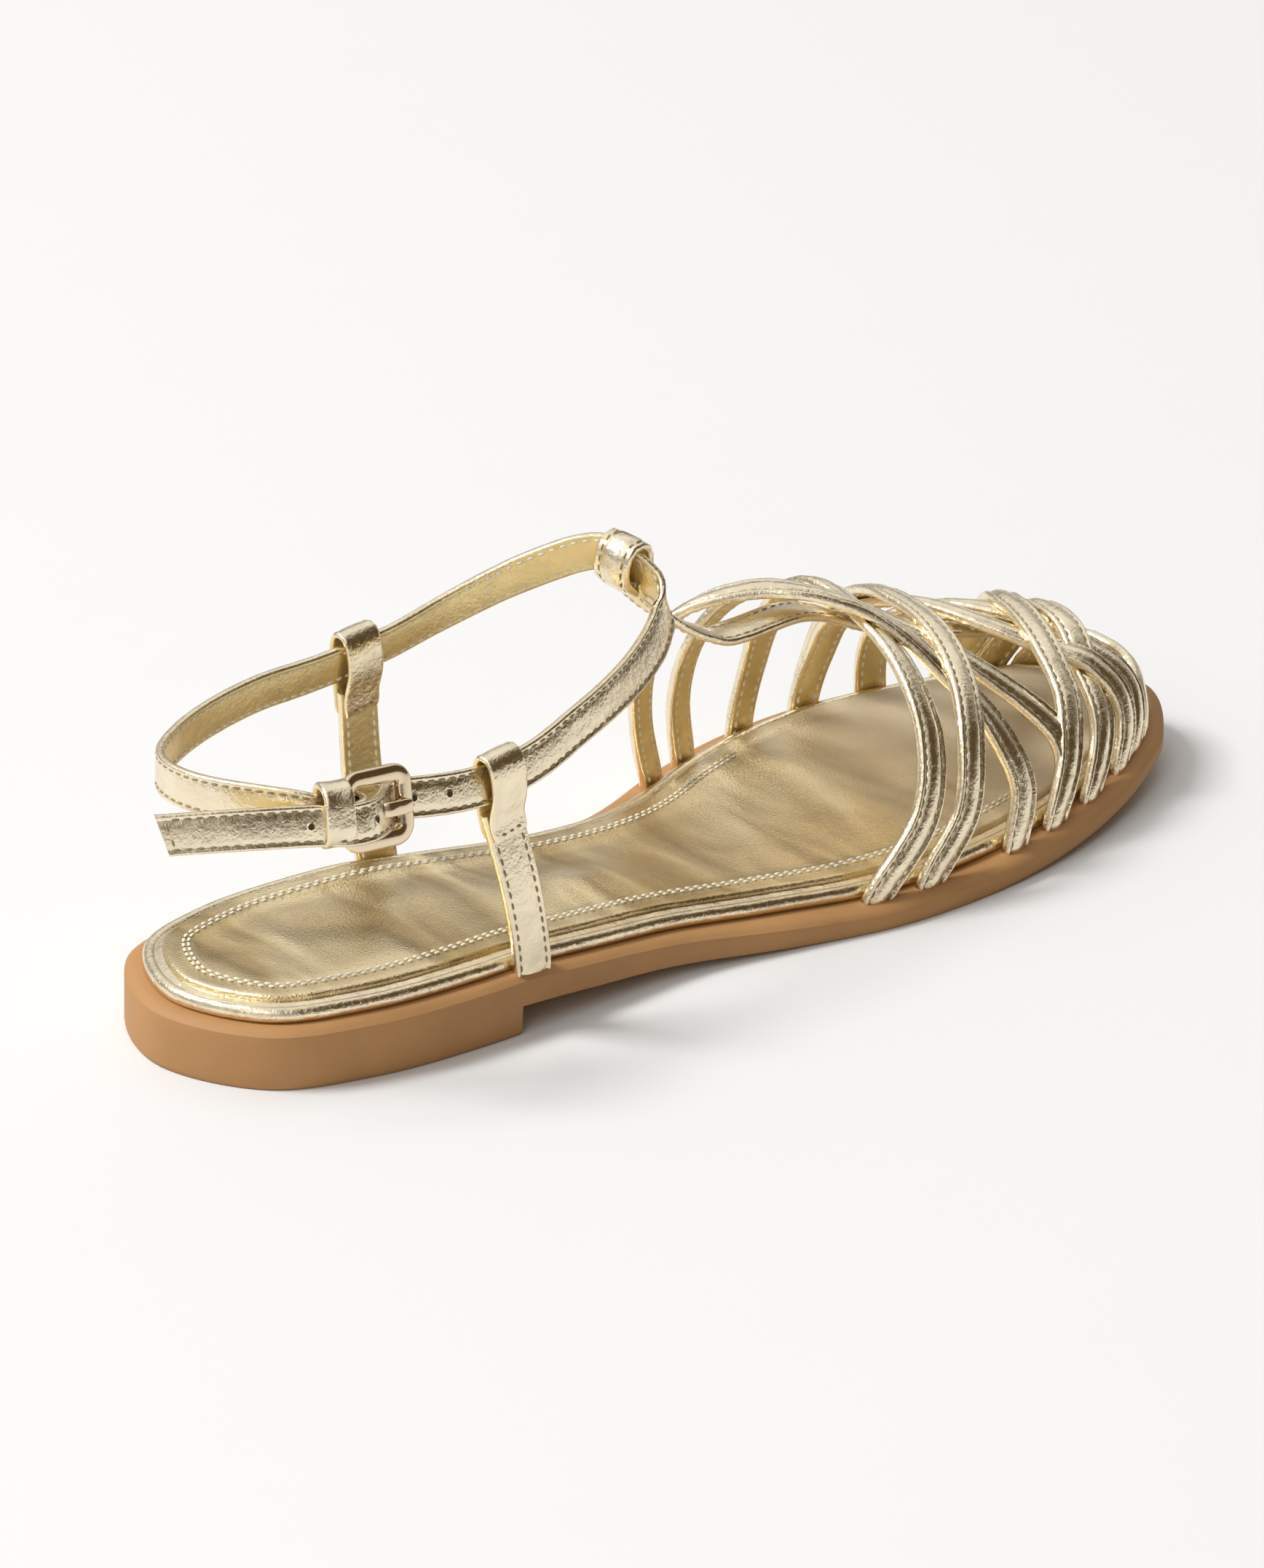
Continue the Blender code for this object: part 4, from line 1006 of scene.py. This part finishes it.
def moulded_rubber(name, colour):
    """Return matte tan rubber with faint specks and a slightly uneven wall."""
    material, tree, where = new_material(name)
    cloud = grain(tree, where, 45.0)
    specks = grain(tree, where, 2200.0, 3.0)
    normal = relief(tree, cloud, 0.0008, 0.4)
    return fill_shader(material, {
        "Base Color": shaded(tree, spread(tree, cloud, 0.3, 0.7, 0.0, 1.0), colour, 0.86),
        "Roughness": spread(tree, cloud, 0.3, 0.7, 0.52, 0.64), "Specular IOR Level": 0.35,
        "Normal": relief(tree, specks, 0.00008, 0.7, normal)})


def polished_metal(name, colour):
    """Return bright plated metal with faint wipe marks."""
    material, tree, where = new_material(name)
    wipe = grain(tree, where, 900.0, 4.0, 0.6, 0.3)
    return fill_shader(material, {
        "Base Color": shaded(tree, wipe, colour, 0.94), "Metallic": 1.0,
        "Roughness": spread(tree, wipe, 0.3, 0.7, 0.07, 0.15),
        "Normal": relief(tree, wipe, 0.00002, 0.4)})


def sewing_thread(name, colour):
    """Return twisted thread."""
    material, tree, where = new_material(name)
    twist = grain(tree, where, 3800.0, 2.0, 0.5, 0.5)
    return fill_shader(material, {
        "Base Color": shaded(tree, twist, colour, 0.7), "Roughness": 0.6, "Sheen Weight": 0.3,
        "Normal": relief(tree, twist, 0.00005, 0.8)})


def matte_floor(name, tone):
    """Return the studio floor's paper."""
    material, tree, where = new_material(name)
    pulp = grain(tree, where, 30.0, 3.0)
    return fill_shader(material, {
        "Base Color": shaded(tree, pulp, (tone,) * 3, 0.992), "Roughness": 0.9,
        "Specular IOR Level": 0.1})


def strap_finishes(settings):
    """Return leather, lining and the two threads, made once and shared."""
    if STRAP_MATERIALS[0] not in bpy.data.materials:
        leather, lining, strap_thread, lining_thread = STRAP_MATERIALS
        foil_leather(leather, settings.leather_colour, settings.leather_roughness, 1.0)
        foil_leather(lining, settings.lining_colour, 0.34, 0.92, 0.8)
        sewing_thread(strap_thread, settings.strap_thread_colour)
        sewing_thread(lining_thread, settings.lining_thread_colour)
    return [bpy.data.materials[name] for name in STRAP_MATERIALS]


def length_setting(name, description, default, low, high):
    """Return a setting that is a length in metres."""
    return bpy.props.FloatProperty(name=name, description=description, default=default, min=low,
                                   max=high, subtype="DISTANCE", unit="LENGTH")


def factor_setting(name, description, default, low=0.0, high=1.0):
    """Return a setting that is a share."""
    return bpy.props.FloatProperty(name=name, description=description, default=default, min=low,
                                   max=high, subtype="FACTOR")


def colour_setting(name, description, default):
    """Return a setting that is a colour."""
    return bpy.props.FloatVectorProperty(name=name, description=description, default=default,
                                         min=0.0, max=1.0, size=3, subtype="COLOR")


class SandalSettings(bpy.types.PropertyGroup):
    """Sizes and colours that a user would change."""

    stitch_pitch: length_setting(
        "Stitch pitch", "Distance from stitch to stitch", 0.0023, 0.001, 0.006)
    stitch_radius: length_setting(
        "Thread radius", "Half the thread's thickness", 0.00029, 0.0001, 0.0006)
    strap_step: length_setting(
        "Strap step", "Length of strap between two stations", 0.0017, 0.0008, 0.006)
    strap_ruffle: length_setting(
        "Strap unevenness", "How far the straps' leather rolls in and out", 0.00010, 0.0, 0.0004)
    leather_roughness: factor_setting(
        "Leather roughness", "How blurred the straps' shine is", 0.20, 0.05, 0.9)
    leather_colour: colour_setting(
        "Leather", "Colour of the straps' gold leather", (0.95, 0.83, 0.61))
    lining_colour: colour_setting(
        "Lining", "Colour of the straps' gold lining", (0.90, 0.73, 0.38))
    sock_colour: colour_setting("Sock", "Colour of the padded sock", (0.90, 0.75, 0.47))
    toe_colour: colour_setting(
        "Toe lining", "Colour of the lining under the toes", (0.64, 0.54, 0.38))
    rubber_colour: colour_setting("Rubber", "Colour of the outsole", (0.485, 0.255, 0.098))
    metal_colour: colour_setting("Metal", "Colour of the buckle", (0.86, 0.70, 0.50))
    strap_thread_colour: colour_setting(
        "Strap thread", "Colour of the stitches on the straps", (0.36, 0.27, 0.14))
    lining_thread_colour: colour_setting(
        "Lining thread", "Colour of the stitches on the lining", (0.95, 0.90, 0.74))
    sock_thread_colour: colour_setting(
        "Sock thread", "Colour of the stitches on the sock", (0.95, 0.90, 0.74))
    floor_tone: factor_setting("Floor tone", "Reflectance of the studio floor", 0.78)


class SANDAL_OT_outsole(bpy.types.Operator):
    """Mould the outsole: wall, lighter bevel, flat ledge and heel block."""

    bl_idname = "sandal.outsole"
    bl_label = "Outsole"

    def execute(self, context):
        settings = context.scene.sandal
        build = bmesh.new()
        rows = []
        for inset, wall, bevel in SOLE_PROFILE:
            def height(x, wall=wall, bevel=bevel):
                low, top = sole_bottom(x), sole_top(x)
                return low + (top - WALL_BEVEL_DROP - low) * wall + WALL_BEVEL_DROP * bevel
            rows.append(outline_row(inset, height))
        draw_outline_body(build, rows)
        rubber = moulded_rubber("tan_sole_rubber", settings.rubber_colour)
        finish_piece(build, "moulded_outsole", [rubber], "outsole", 38.0)
        return {"FINISHED"}


class SANDAL_OT_rand(bpy.types.Operator):
    """Wrap the board that carries the sock, with a rolled bead along its edge."""

    bl_idname = "sandal.rand"
    bl_label = "Wrapped board"

    def execute(self, context):
        settings = context.scene.sandal
        build = bmesh.new()
        rows = []
        for inset, rise in RAND_PROFILE:
            rows.append(outline_row(BOARD_INSET + inset, lambda x, r=rise: sole_top(x) + r))
        draw_outline_body(build, rows)
        finish_leather(build, "wrapped_board", "footbed_board", settings, 50.0)
        return {"FINISHED"}


def sock_height(point, rise):
    """Return the sock's surface height with its folds and the heel's dent."""
    base = sole_top(point.x) + BOARD_THICKNESS + rise
    if rise < FOLD_START:
        return base
    push = 0.0
    for along, across, turn, length, width, depth in SOCK_FOLDS:
        dx, dy = point.x - along, point.y - across
        c, s = cos(radians(turn)), sin(radians(turn))
        a, b = dx * c + dy * s, dy * c - dx * s
        near = max(0.0, 1.0 - (a / length) ** 2)
        off = abs(b - FOLD_BEND * a * a) / width
        push += FOLD_DEPTH * depth * near * near * cos(min(pi, off * pi / 2))
    along, across, radius, depth = HEEL_DENT
    reach = ((point.x - along) ** 2 + (point.y - across) ** 2) / radius ** 2
    if reach < 1:
        push -= depth * (1 - reach) ** 2
    share = min(1.0, (rise - FOLD_START) / FOLD_FADE)
    return base + FOLD_LIMIT * tanh(push / FOLD_LIMIT) * share


class SANDAL_OT_sock(bpy.types.Operator):
    """Lay the padded sock with its double row of stitches."""

    bl_idname = "sandal.sock"
    bl_label = "Padded sock"

    def execute(self, context):
        settings = context.scene.sandal
        build = bmesh.new()
        rows = []
        for inset, rise in SOCK_PROFILE:
            row = outline_row(SOCK_INSET + inset, lambda x: 0.0)
            for point in row:
                point.z = sock_height(point, rise)
            rows.append(row)
        edge = rows[-1]
        size = len(edge)
        start, end = edge[0].x, edge[size // 2].x
        for share in SOCK_SHARES:
            row = []
            for k, point in enumerate(edge):
                twin = edge[(size - k) % size]
                centre = Vector((min(max(point.x, start + SOCK_CORE), end - SOCK_CORE),
                                 (point.y + twin.y) / 2, 0))
                mixed = point.lerp(centre, share)
                rise = SOCK_PROFILE[-1][1] + SOCK_DOME * share * (2 - share)
                mixed.z = sock_height(mixed, rise)
                row.append(mixed)
            rows.append(row)
        draw_outline_body(build, rows)
        for row_inset in SOCK_STITCH_ROWS:
            lateral, medial = side_halves(SOCK_INSET + row_inset)
            line = [p for p in lateral[::-1] if p.x < SOCK_STITCH_ENDS[0]]
            line += [p for p in medial[1:] if p.x < SOCK_STITCH_ENDS[1]]
            line = [Vector((p.x, p.y, sole_top(p.x) + BOARD_THICKNESS + SOCK_STITCH_RISE))
                    for p in line]
            sew(build, line, [Vector((0, 0, 1))] * len(line), settings, 1,
                SOCK_STITCH_PITCH, SOCK_STITCH_RADIUS)
        sock = sock_leather("sock_foil", settings.sock_colour, settings.toe_colour, 0.23, 0.95)
        thread = sewing_thread("sock_thread", settings.sock_thread_colour)
        piece = finish_piece(build, "padded_sock", [sock, thread],
                             "insole_sock", 60.0)
        return {"FINISHED"}


def seat_end(point):
    """Return a strap's end sunk into the ledge."""
    return Vector((point.x, point.y, sole_top(point.x) - LEDGE_SEAT))


class SANDAL_OT_vamp(bpy.types.Operator):
    """Weave the nine straps of the vamp and the middle strap beneath them."""

    bl_idname = "sandal.vamp"
    bl_label = "Woven vamp"

    def execute(self, context):
        settings = context.scene.sandal
        curves = {name: chart_curve(points) for name, points in VAMP_STRAPS.items()}
        levels = weave_levels(curves)
        for name, curve in curves.items():
            path, outs = [], []
            for x, across in curve:
                out = last_normal(x, across)
                path.append(last_point(x, across) + out * strap_lift(x, across, levels[name]))
                outs.append(out)
            path = [seat_end(path[0])] + path + [seat_end(path[-1])]
            outs = [outs[0]] + outs + [outs[-1]]
            self.strap(settings, "vamp_strap_" + name, path, outs, VAMP_SECTION, VAMP_ROW)
        self.middle(settings)
        return {"FINISHED"}

    def strap(self, settings, name, path, outs, section, row, tuck=0.0):
        """Draw and sew one strap of the upper along its path."""
        build = bmesh.new()
        stations = along_strap(*even_steps(path, outs, settings.strap_step / MM))
        draw_strap(build, stations, section, settings.strap_ruffle / MM, tuck=tuck)
        sew_strap(build, stations, settings, row)
        finish_leather(build, name, "upper", settings)

    def middle(self, settings):
        """Draw the middle strap, folded over the ankle strap and sewn down behind itself."""
        centre = ankle_point(T_LOOP_PLACE)
        way = (way_through(centre) + Vector(T_LOOP_TURN)).normalized()
        out, up = frame_along(way)
        half_up = ANKLE_STRAP_WIDTH / 2 - GAP
        half_out = ANKLE_STRAP_THICKNESS / 2 + T_LOOP_CLEARANCE + GAP
        chart = chart_curve(T_STRAP)
        run = [last_point(x, across) for x, across in chart][::3]
        neck = centre - up * (half_up + NECK_DROP) + out * NECK_OUT
        down = (run[-1] - neck).normalized()
        behind = neck - out * NECK_BEHIND
        fold = [centre + up * (half_up * u) + out * (half_out * o) for u, o in T_LOOP_FOLD]
        run_and_fold = run + [neck] + fold + [behind, behind + down * T_LOOP_LAP]
        path = spline(run_and_fold, per_span=T_LOOP_SPAN)
        leaves = (len(run) - 1) * T_LOOP_SPAN
        outs = []
        for i, (point, along) in enumerate(zip(path, directions(path))):
            turned = way.cross(along)
            if i < leaves:
                share = max(0.0, (i - leaves) / (2 * T_LOOP_SPAN) + 1.0)
                turned = nearest_normal(point, chart).lerp(turned, share)
            outs.append(turned.normalized())
        self.strap(settings, "middle_strap", path, outs, MIDDLE_SECTION, MIDDLE_ROW, 0.25)


class SANDAL_OT_posts(bpy.types.Operator):
    """Stand the two heel posts, each with a sewn loop over the ankle strap."""

    bl_idname = "sandal.posts"
    bl_label = "Heel posts"

    def execute(self, context):
        settings = context.scene.sandal
        self.post(settings, "heel_post_lateral", LATERAL_LOOP_PLACE, True)
        self.post(settings, "heel_post_medial", MEDIAL_LOOP_PLACE, False)
        return {"FINISHED"}

    def post(self, settings, node, loop_place, lateral):
        """Draw one post and its loop."""
        centre = ankle_point(loop_place)
        way = way_through(centre)
        half_up = ANKLE_STRAP_WIDTH / 2 + LOOP_CLEARANCE
        half_out = ANKLE_STRAP_THICKNESS / 2 + LOOP_CLEARANCE
        foot_x = centre.x + POST_FOOT_FORWARD * SOLE_LENGTH
        edge = edge_at(POST_INSET, foot_x, lateral)
        sign = -1 if lateral else 1
        slope = (edge_at(POST_INSET, foot_x + POST_WIDTH / 2, lateral)
                 - edge_at(POST_INSET, foot_x - POST_WIDTH / 2, lateral)) / POST_WIDTH
        foot_out = Vector((-slope * sign, sign, 0)).normalized()
        out, up = frame_along(way)
        loop_out = out if out.y * sign > 0 else -out
        ledge = Vector((foot_x, edge, sole_top(foot_x) + POST_FOOT_RISE))
        top = centre - Vector((0, 0, half_up + LOOP_WALL * 0.5))
        top.y -= sign * POST_THICKNESS * 0.5
        bow = ledge.lerp(top, 0.45) + Vector((0, sign * POST_BOW, 0))
        path = spline([seat_end(ledge), ledge, bow, top], per_span=10)
        outs = [foot_out.lerp(loop_out, min(1.0, max(0.0, (p.z - ledge.z) / (top.z - ledge.z))))
                for p in path]
        path, outs = even_steps(path, outs, settings.strap_step / MM)
        build = bmesh.new()
        stations = along_strap(path, outs)
        draw_strap(build, stations, POST_SECTION, settings.strap_ruffle / MM)
        sew_strap(build, stations, settings, POST_ROW)

        rise = (path[-1] - path[-4]).normalized()
        middle = top + loop_out * (POST_THICKNESS * 0.5)
        legs = []
        for leg in (1, -1):
            lie = loop_out * (leg * (POST_THICKNESS * 0.5 + POST_LOOP_LIE))
            legs.append([middle - rise * drop + lie for drop in POST_LOOP_LEGS]
                        + [centre + up * (half_up * u) + loop_out * (leg * half_out * o)
                           for u, o in POST_LOOP_FOLD])
        band = spline(legs[0] + legs[1][::-1], per_span=6)
        across = way if out.y * sign > 0 else -way
        tops = [across.cross(along).normalized() for along in directions(band)]
        loops = along_strap(*even_steps(band, tops, 1.0))
        draw_strap(build, loops, LOOP_SECTION, 0.05, tuck=0.2)
        for point, side, raised, _ in (loops[1], loops[-2]):
            line = [point + side * s + raised * LOOP_END_OUT for s in LOOP_END_ROW]
            sew(build, line, [raised] * len(line), settings, 2, LOOP_END_PITCH)
        finish_leather(build, node + "_strap", node, settings)


class SANDAL_OT_ankle(bpy.types.Operator):
    """Lead the ankle strap through its loops and buckle, round the heel to the hinge bar."""

    bl_idname = "sandal.ankle"
    bl_label = "Ankle strap"

    def execute(self, context):
        settings = context.scene.sandal
        path = ankle_path()[0]
        bend = len(path) - WRAP_STEPS - 2
        smooth = spline(path[:bend], per_span=3) + path[bend:]
        last = len(smooth) - 1
        outs = [rolled(frame_along(way), table_value(ROLL_TABLE, i / last))[0]
                for i, way in enumerate(directions(smooth))]
        inner = [p - out * (ANKLE_STRAP_THICKNESS / 2) for p, out in zip(smooth, outs)]
        stations = along_strap(inner, outs)
        build = bmesh.new()
        draw_strap(build, stations, BAND_SECTION, 0.06, slant=1.3)
        sew_strap(build, stations[:-8], settings, BAND_ROW)
        point, side, up, way = stations[1]
        line = [point + side * s + up * BAND_END_OUT + way * (s * BAND_END_SLANT)
                for s in BAND_END_ROW]
        sew(build, line, [up] * len(line), settings, 2)
        for share in HOLES:
            self.eyelet(build, stations, share)
        # Painted shade: a near-black material for the flat discs that stand for the shade inside the
        # holes.
        painted_shade = moulded_rubber("hole_shade", (0.05, 0.038, 0.02))
        finish_leather(build, "ankle_band", "ankle_strap", settings, extra=[painted_shade])
        return {"FINISHED"}

    def eyelet(self, build, stations, place_along):
        """Draw one small hole: a pressed rim round a flat disc of painted shade for its middle."""
        target = place_along * SOLE_LENGTH
        lateral = [s for s in stations[:len(stations) // 3] if s[2].y < -0.5]
        point, side, up, way = min(lateral, key=lambda s: abs(s[0].x - target))
        turn = Matrix((side, way, up)).transposed().to_4x4()
        spot = Matrix.Translation(place(point + up * HOLE_OUT)) @ turn
        paint(bmesh.ops.create_circle(build, cap_ends=True, segments=14,
                                      radius=HOLE_RADIUS * MM, matrix=spot), len(STRAP_MATERIALS))
        bmesh.ops.create_cone(build, cap_ends=False, segments=16, radius1=RIM_FOOT * MM,
                              radius2=RIM_TOP * MM, depth=RIM_HEIGHT * MM, matrix=spot)


class SANDAL_OT_keeper(bpy.types.Operator):
    """Slip the keeper over the strap's free end."""

    bl_idname = "sandal.keeper"
    bl_label = "Keeper"

    def execute(self, context):
        settings = context.scene.sandal
        keeper = ankle_path()[3]
        wrap = HINGE_BAR / 2 + GAP + ANKLE_STRAP_THICKNESS / 2
        outside = (wrap + ANKLE_STRAP_THICKNESS + 2 * GAP) * TAIL_NEAR_KEEPER
        half_out = (wrap + outside + ANKLE_STRAP_THICKNESS) / 2 + 2 * GAP
        half_up = ANKLE_STRAP_WIDTH / 2 + BAND_RISE_AT_KEEPER
        centre = keeper + Vector((KEEPER_FORWARD, (wrap - outside) / 2,
                                  BAND_RISE_AT_KEEPER * 0.45 + KEEPER_RAISE))
        turn = radians(KEEPER_TURN)
        way = Vector((cos(turn), -sin(turn), 0))
        out, up = rolled(frame_along(way), BUCKLE_ROLL)
        corners = rounded_corners(half_out, half_up, half_out * 0.9, 5)
        path = [centre + out * a + up * b for row in corners for a, b in row]
        path = resample(path + path[:1], 1.1)[:-1]
        outs = [way.cross(along).normalized() for along in directions(path, closed=True)]
        build = bmesh.new()
        draw_strap(build, along_strap(path, outs, closed=True), KEEPER_SECTION, 0.05, closed=True)
        finish_leather(build, "keeper_band", "keeper", settings, 60.0)
        return {"FINISHED"}


def leaning(point, buckle):
    """Place a point of the buckle, which leans back and toward the toe as its strap does."""
    pitched = Matrix.Rotation(radians(BUCKLE_PITCH), 3, "Y") @ (point - buckle)
    rolled_back = Matrix.Rotation(radians(-BUCKLE_ROLL), 3, "X") @ pitched
    return place(buckle + rolled_back - Vector((0, 0, BUCKLE_DROP)))


def ring_section(wide, thick, count=16, power=0.72):
    """Return a flattened round section, so that its faces catch long highlights."""
    rows = []
    for k in range(count):
        angle = 2 * pi * (k + 0.5) / count
        c, s = cos(angle), sin(angle)
        rows.append((wide / 2 * (1 if c > 0 else -1) * abs(c) ** power,
                     thick / 2 * (1 if s > 0 else -1) * abs(s) ** power))
    return rows


class SANDAL_OT_buckle(bpy.types.Operator):
    """Cast the buckle's frame with its hinge bar, and lay the prong across it."""

    bl_idname = "sandal.buckle"
    bl_label = "Buckle"

    def execute(self, context):
        settings = context.scene.sandal
        metal = polished_metal("plated_metal", settings.metal_colour)
        self.frame(metal)
        self.prong(metal)
        return {"FINISHED"}

    def frame(self, metal):
        """Sweep the frame's section round a rounded rectangle."""
        buckle = ankle_path()[1]
        half_long = BUCKLE_LENGTH / 2 - CASTING_WIDTH / 2
        half_high = BUCKLE_HEIGHT / 2 - CASTING_WIDTH / 2 - FRAME_SHRINK
        corners = rounded_corners(half_long, half_high, BUCKLE_CORNER - CASTING_WIDTH / 2, 10)
        bar = [(-half_long, half_high * share) for share in (0.42, 0.36, 0.0, -0.36, -0.42)]
        outline = corners[0] + corners[1] + bar + corners[2] + corners[3]
        path = [Vector((a, 0, b)) for a, b in outline]
        rings = []
        for point, way in zip(path, directions(path, closed=True)):
            side = Vector((way.z, 0, -way.x))
            on_bar = point.x < -half_long + 0.01 and abs(point.z) < half_high * 0.4
            wide = HINGE_BAR if on_bar else CASTING_WIDTH
            thick = HINGE_BAR if on_bar else FRAME_THICKNESS
            section = ring_section(wide, thick, power=1.0 if on_bar else 0.72)
            rings.append([leaning(buckle + point + side * s + Vector((0, t, 0)), buckle)
                          for s, t in section])
        build = bmesh.new()
        draw_rings(build, rings, joined=True)
        finish_piece(build, "buckle_casting", [metal], "buckle_frame", 60.0)

    def prong(self, metal):
        """Draw the prong's eye round the bar and its tongue over the frame."""
        _, buckle, bar, _ = ankle_path()
        inner = HINGE_BAR / 2 + GAP
        build = bmesh.new()
        radius = inner + PRONG_EYE_WALL / 2
        rings = []
        for k in range(PRONG_EYE_STEPS):
            angle = 2 * pi * k / PRONG_EYE_STEPS
            out = Vector((cos(angle), sin(angle), 0))
            rings.append([leaning(bar + out * (radius + s) + Vector((0, 0, t)), buckle)
                          for s, t in ring_section(PRONG_EYE_WALL, PRONG_THICKNESS, 12, 0.6)])
        draw_rings(build, rings, joined=True)
        end = BUCKLE_LENGTH / 2 - PRONG_SHORT
        path = [bar + Vector((inner + 0.5 * PRONG_EYE_WALL, 0.2, 0))]
        path += [buckle + Vector((end - before, out, 0)) for before, out in PRONG_RUN]
        path = resample(spline(path, per_span=6), 0.8)
        section = ring_section(PRONG_WIDTH, PRONG_THICKNESS, 12, 0.45)
        rings = []
        stations = along_strap(path, [Vector((0, -1, 0))] * len(path))
        for k, (point, side, up, _) in enumerate(stations):
            shrink = 0.86 if k in (0, len(path) - 1) else 1.0
            lift = up * PRONG_LIFT
            rings.append([leaning(point + (side * s + up * t) * shrink + lift, buckle)
                          for s, t in section])
        draw_rings(build, rings)
        finish_piece(build, "buckle_tongue", [metal], "buckle_prong", 50.0)


class SANDAL_OT_stage(bpy.types.Operator):
    """Set the pale floor, the soft lights and the camera."""

    bl_idname = "sandal.stage"
    bl_label = "Stage"

    def execute(self, context):
        settings = context.scene.sandal
        build = bmesh.new()
        bmesh.ops.create_grid(build, x_segments=2, y_segments=2, size=6.0)
        mesh = bpy.data.meshes.new("studio_floor")
        build.to_mesh(mesh)
        build.free()
        floor = bpy.data.objects.new("studio_floor", mesh)
        mesh.materials.append(matte_floor("floor_paper", settings.floor_tone))
        context.scene.collection.objects.link(floor)
        self.lights(context)
        self.world(context)
        self.camera(context)
        context.scene.view_settings.view_transform = "Standard"
        context.scene.view_settings.look = "None"
        return {"FINISHED"}

    def lights(self, context):
        """Hang a large key light behind and to the left, and a weaker strip."""
        rows = (
            ("key", (-1.90, 1.40, 3.05), (1.13, 1.13), 112.0),
            ("strip", (-1.15, -0.75, 1.00), (0.08, 1.1), 1.2),
        )
        for name, spot, size, power in rows:
            light = bpy.data.lights.new("studio_" + name, "AREA")
            light.shape = "RECTANGLE"
            light.size, light.size_y = size
            light.energy = power
            lamp = bpy.data.objects.new("studio_" + name, light)
            lamp.location = spot
            lamp.rotation_mode = "QUATERNION"
            aim = Vector((0, 0, 0.03)) - Vector(spot)
            lamp.rotation_quaternion = aim.to_track_quat("-Z", "Y")
            context.scene.collection.objects.link(lamp)

    def world(self, context):
        """Light the shoe from a white sky over a darker horizon, as in a studio."""
        world = bpy.data.worlds.new("studio_sky")
        context.scene.world = world
        world.use_nodes = True
        tree = world.node_tree
        where = add_node(tree, "ShaderNodeTexCoord", "Generated", {})
        height = add_node(tree, "ShaderNodeSeparateXYZ", "Z", {"Vector": where})
        dark_way = Vector((0.48, -0.74, 0.40)).normalized()
        facing = add_node(tree, "ShaderNodeVectorMath", "Value", {0: where, 1: dark_way},
                          operation="DOT_PRODUCT")
        room = spread(tree, facing, 0.50, 0.80, 1.0, 0.0)
        above = spread(tree, height, 0.24, 0.45, 0.26, 1.0)
        light = add_node(tree, "ShaderNodeMath", "Value", {0: room, 1: above},
                         operation="MULTIPLY")
        tone = blend_colours(tree, light, (0.105, 0.072, 0.036), (1.0, 0.995, 0.985))
        wire(tree, tree.nodes["Background"], {"Color": tone, "Strength": 0.88})

    def camera(self, context):
        """Aim a long lens at the shoe from the front left."""
        spot = Vector((-1071.04, -1375.66, 877.19))
        aim = Vector((117.5, -3.0, 27.0))
        back = (spot - aim).normalized()
        level = Vector((0.768235, -0.640005, 0.014450))
        side = (level - back * level.dot(back)).normalized()
        upright = back.cross(side)
        lens = bpy.data.cameras.new("studio_camera")
        lens.sensor_fit = "HORIZONTAL"
        lens.sensor_width = 36.0
        lens.lens = 288.0
        lens.clip_start = 0.05
        lens.clip_end = 30.0
        camera = bpy.data.objects.new("studio_camera", lens)
        camera.matrix_world = (Matrix.Translation(place(spot))
                               @ Matrix((side, upright, back)).transposed().to_4x4())
        context.scene.collection.objects.link(camera)
        context.scene.camera = camera


OPERATORS = (
    SANDAL_OT_stage, SANDAL_OT_outsole, SANDAL_OT_rand, SANDAL_OT_sock, SANDAL_OT_vamp,
    SANDAL_OT_posts, SANDAL_OT_ankle, SANDAL_OT_keeper, SANDAL_OT_buckle,
)


class SANDAL_PT_panel(bpy.types.Panel):
    """List the sandal's settings and pieces."""

    bl_idname = "SANDAL_PT_panel"
    bl_label = "Fisherman sandal"
    bl_space_type = "VIEW_3D"
    bl_region_type = "UI"
    bl_category = "Sandal"

    def draw(self, context):
        layout = self.layout
        settings = context.scene.sandal
        for name in SandalSettings.__annotations__:
            layout.prop(settings, name)
        for operator in OPERATORS:
            layout.operator(operator.bl_idname)


CLASSES = (SandalSettings,) + OPERATORS + (SANDAL_PT_panel,)


def register():
    """Register the settings, the operators and the panel."""
    for cls in CLASSES:
        bpy.utils.register_class(cls)
    bpy.types.Scene.sandal = bpy.props.PointerProperty(type=SandalSettings)


def unregister():
    """Take the settings, the operators and the panel away."""
    del bpy.types.Scene.sandal
    for cls in reversed(CLASSES):
        bpy.utils.unregister_class(cls)


def main():
    """Build the stage and every piece."""
    register()
    bpy.ops.sandal.stage()
    bpy.ops.sandal.outsole()
    bpy.ops.sandal.rand()
    bpy.ops.sandal.sock()
    bpy.ops.sandal.vamp()
    bpy.ops.sandal.posts()
    bpy.ops.sandal.ankle()
    bpy.ops.sandal.keeper()
    bpy.ops.sandal.buckle()


if __name__ == "__main__":
    main()
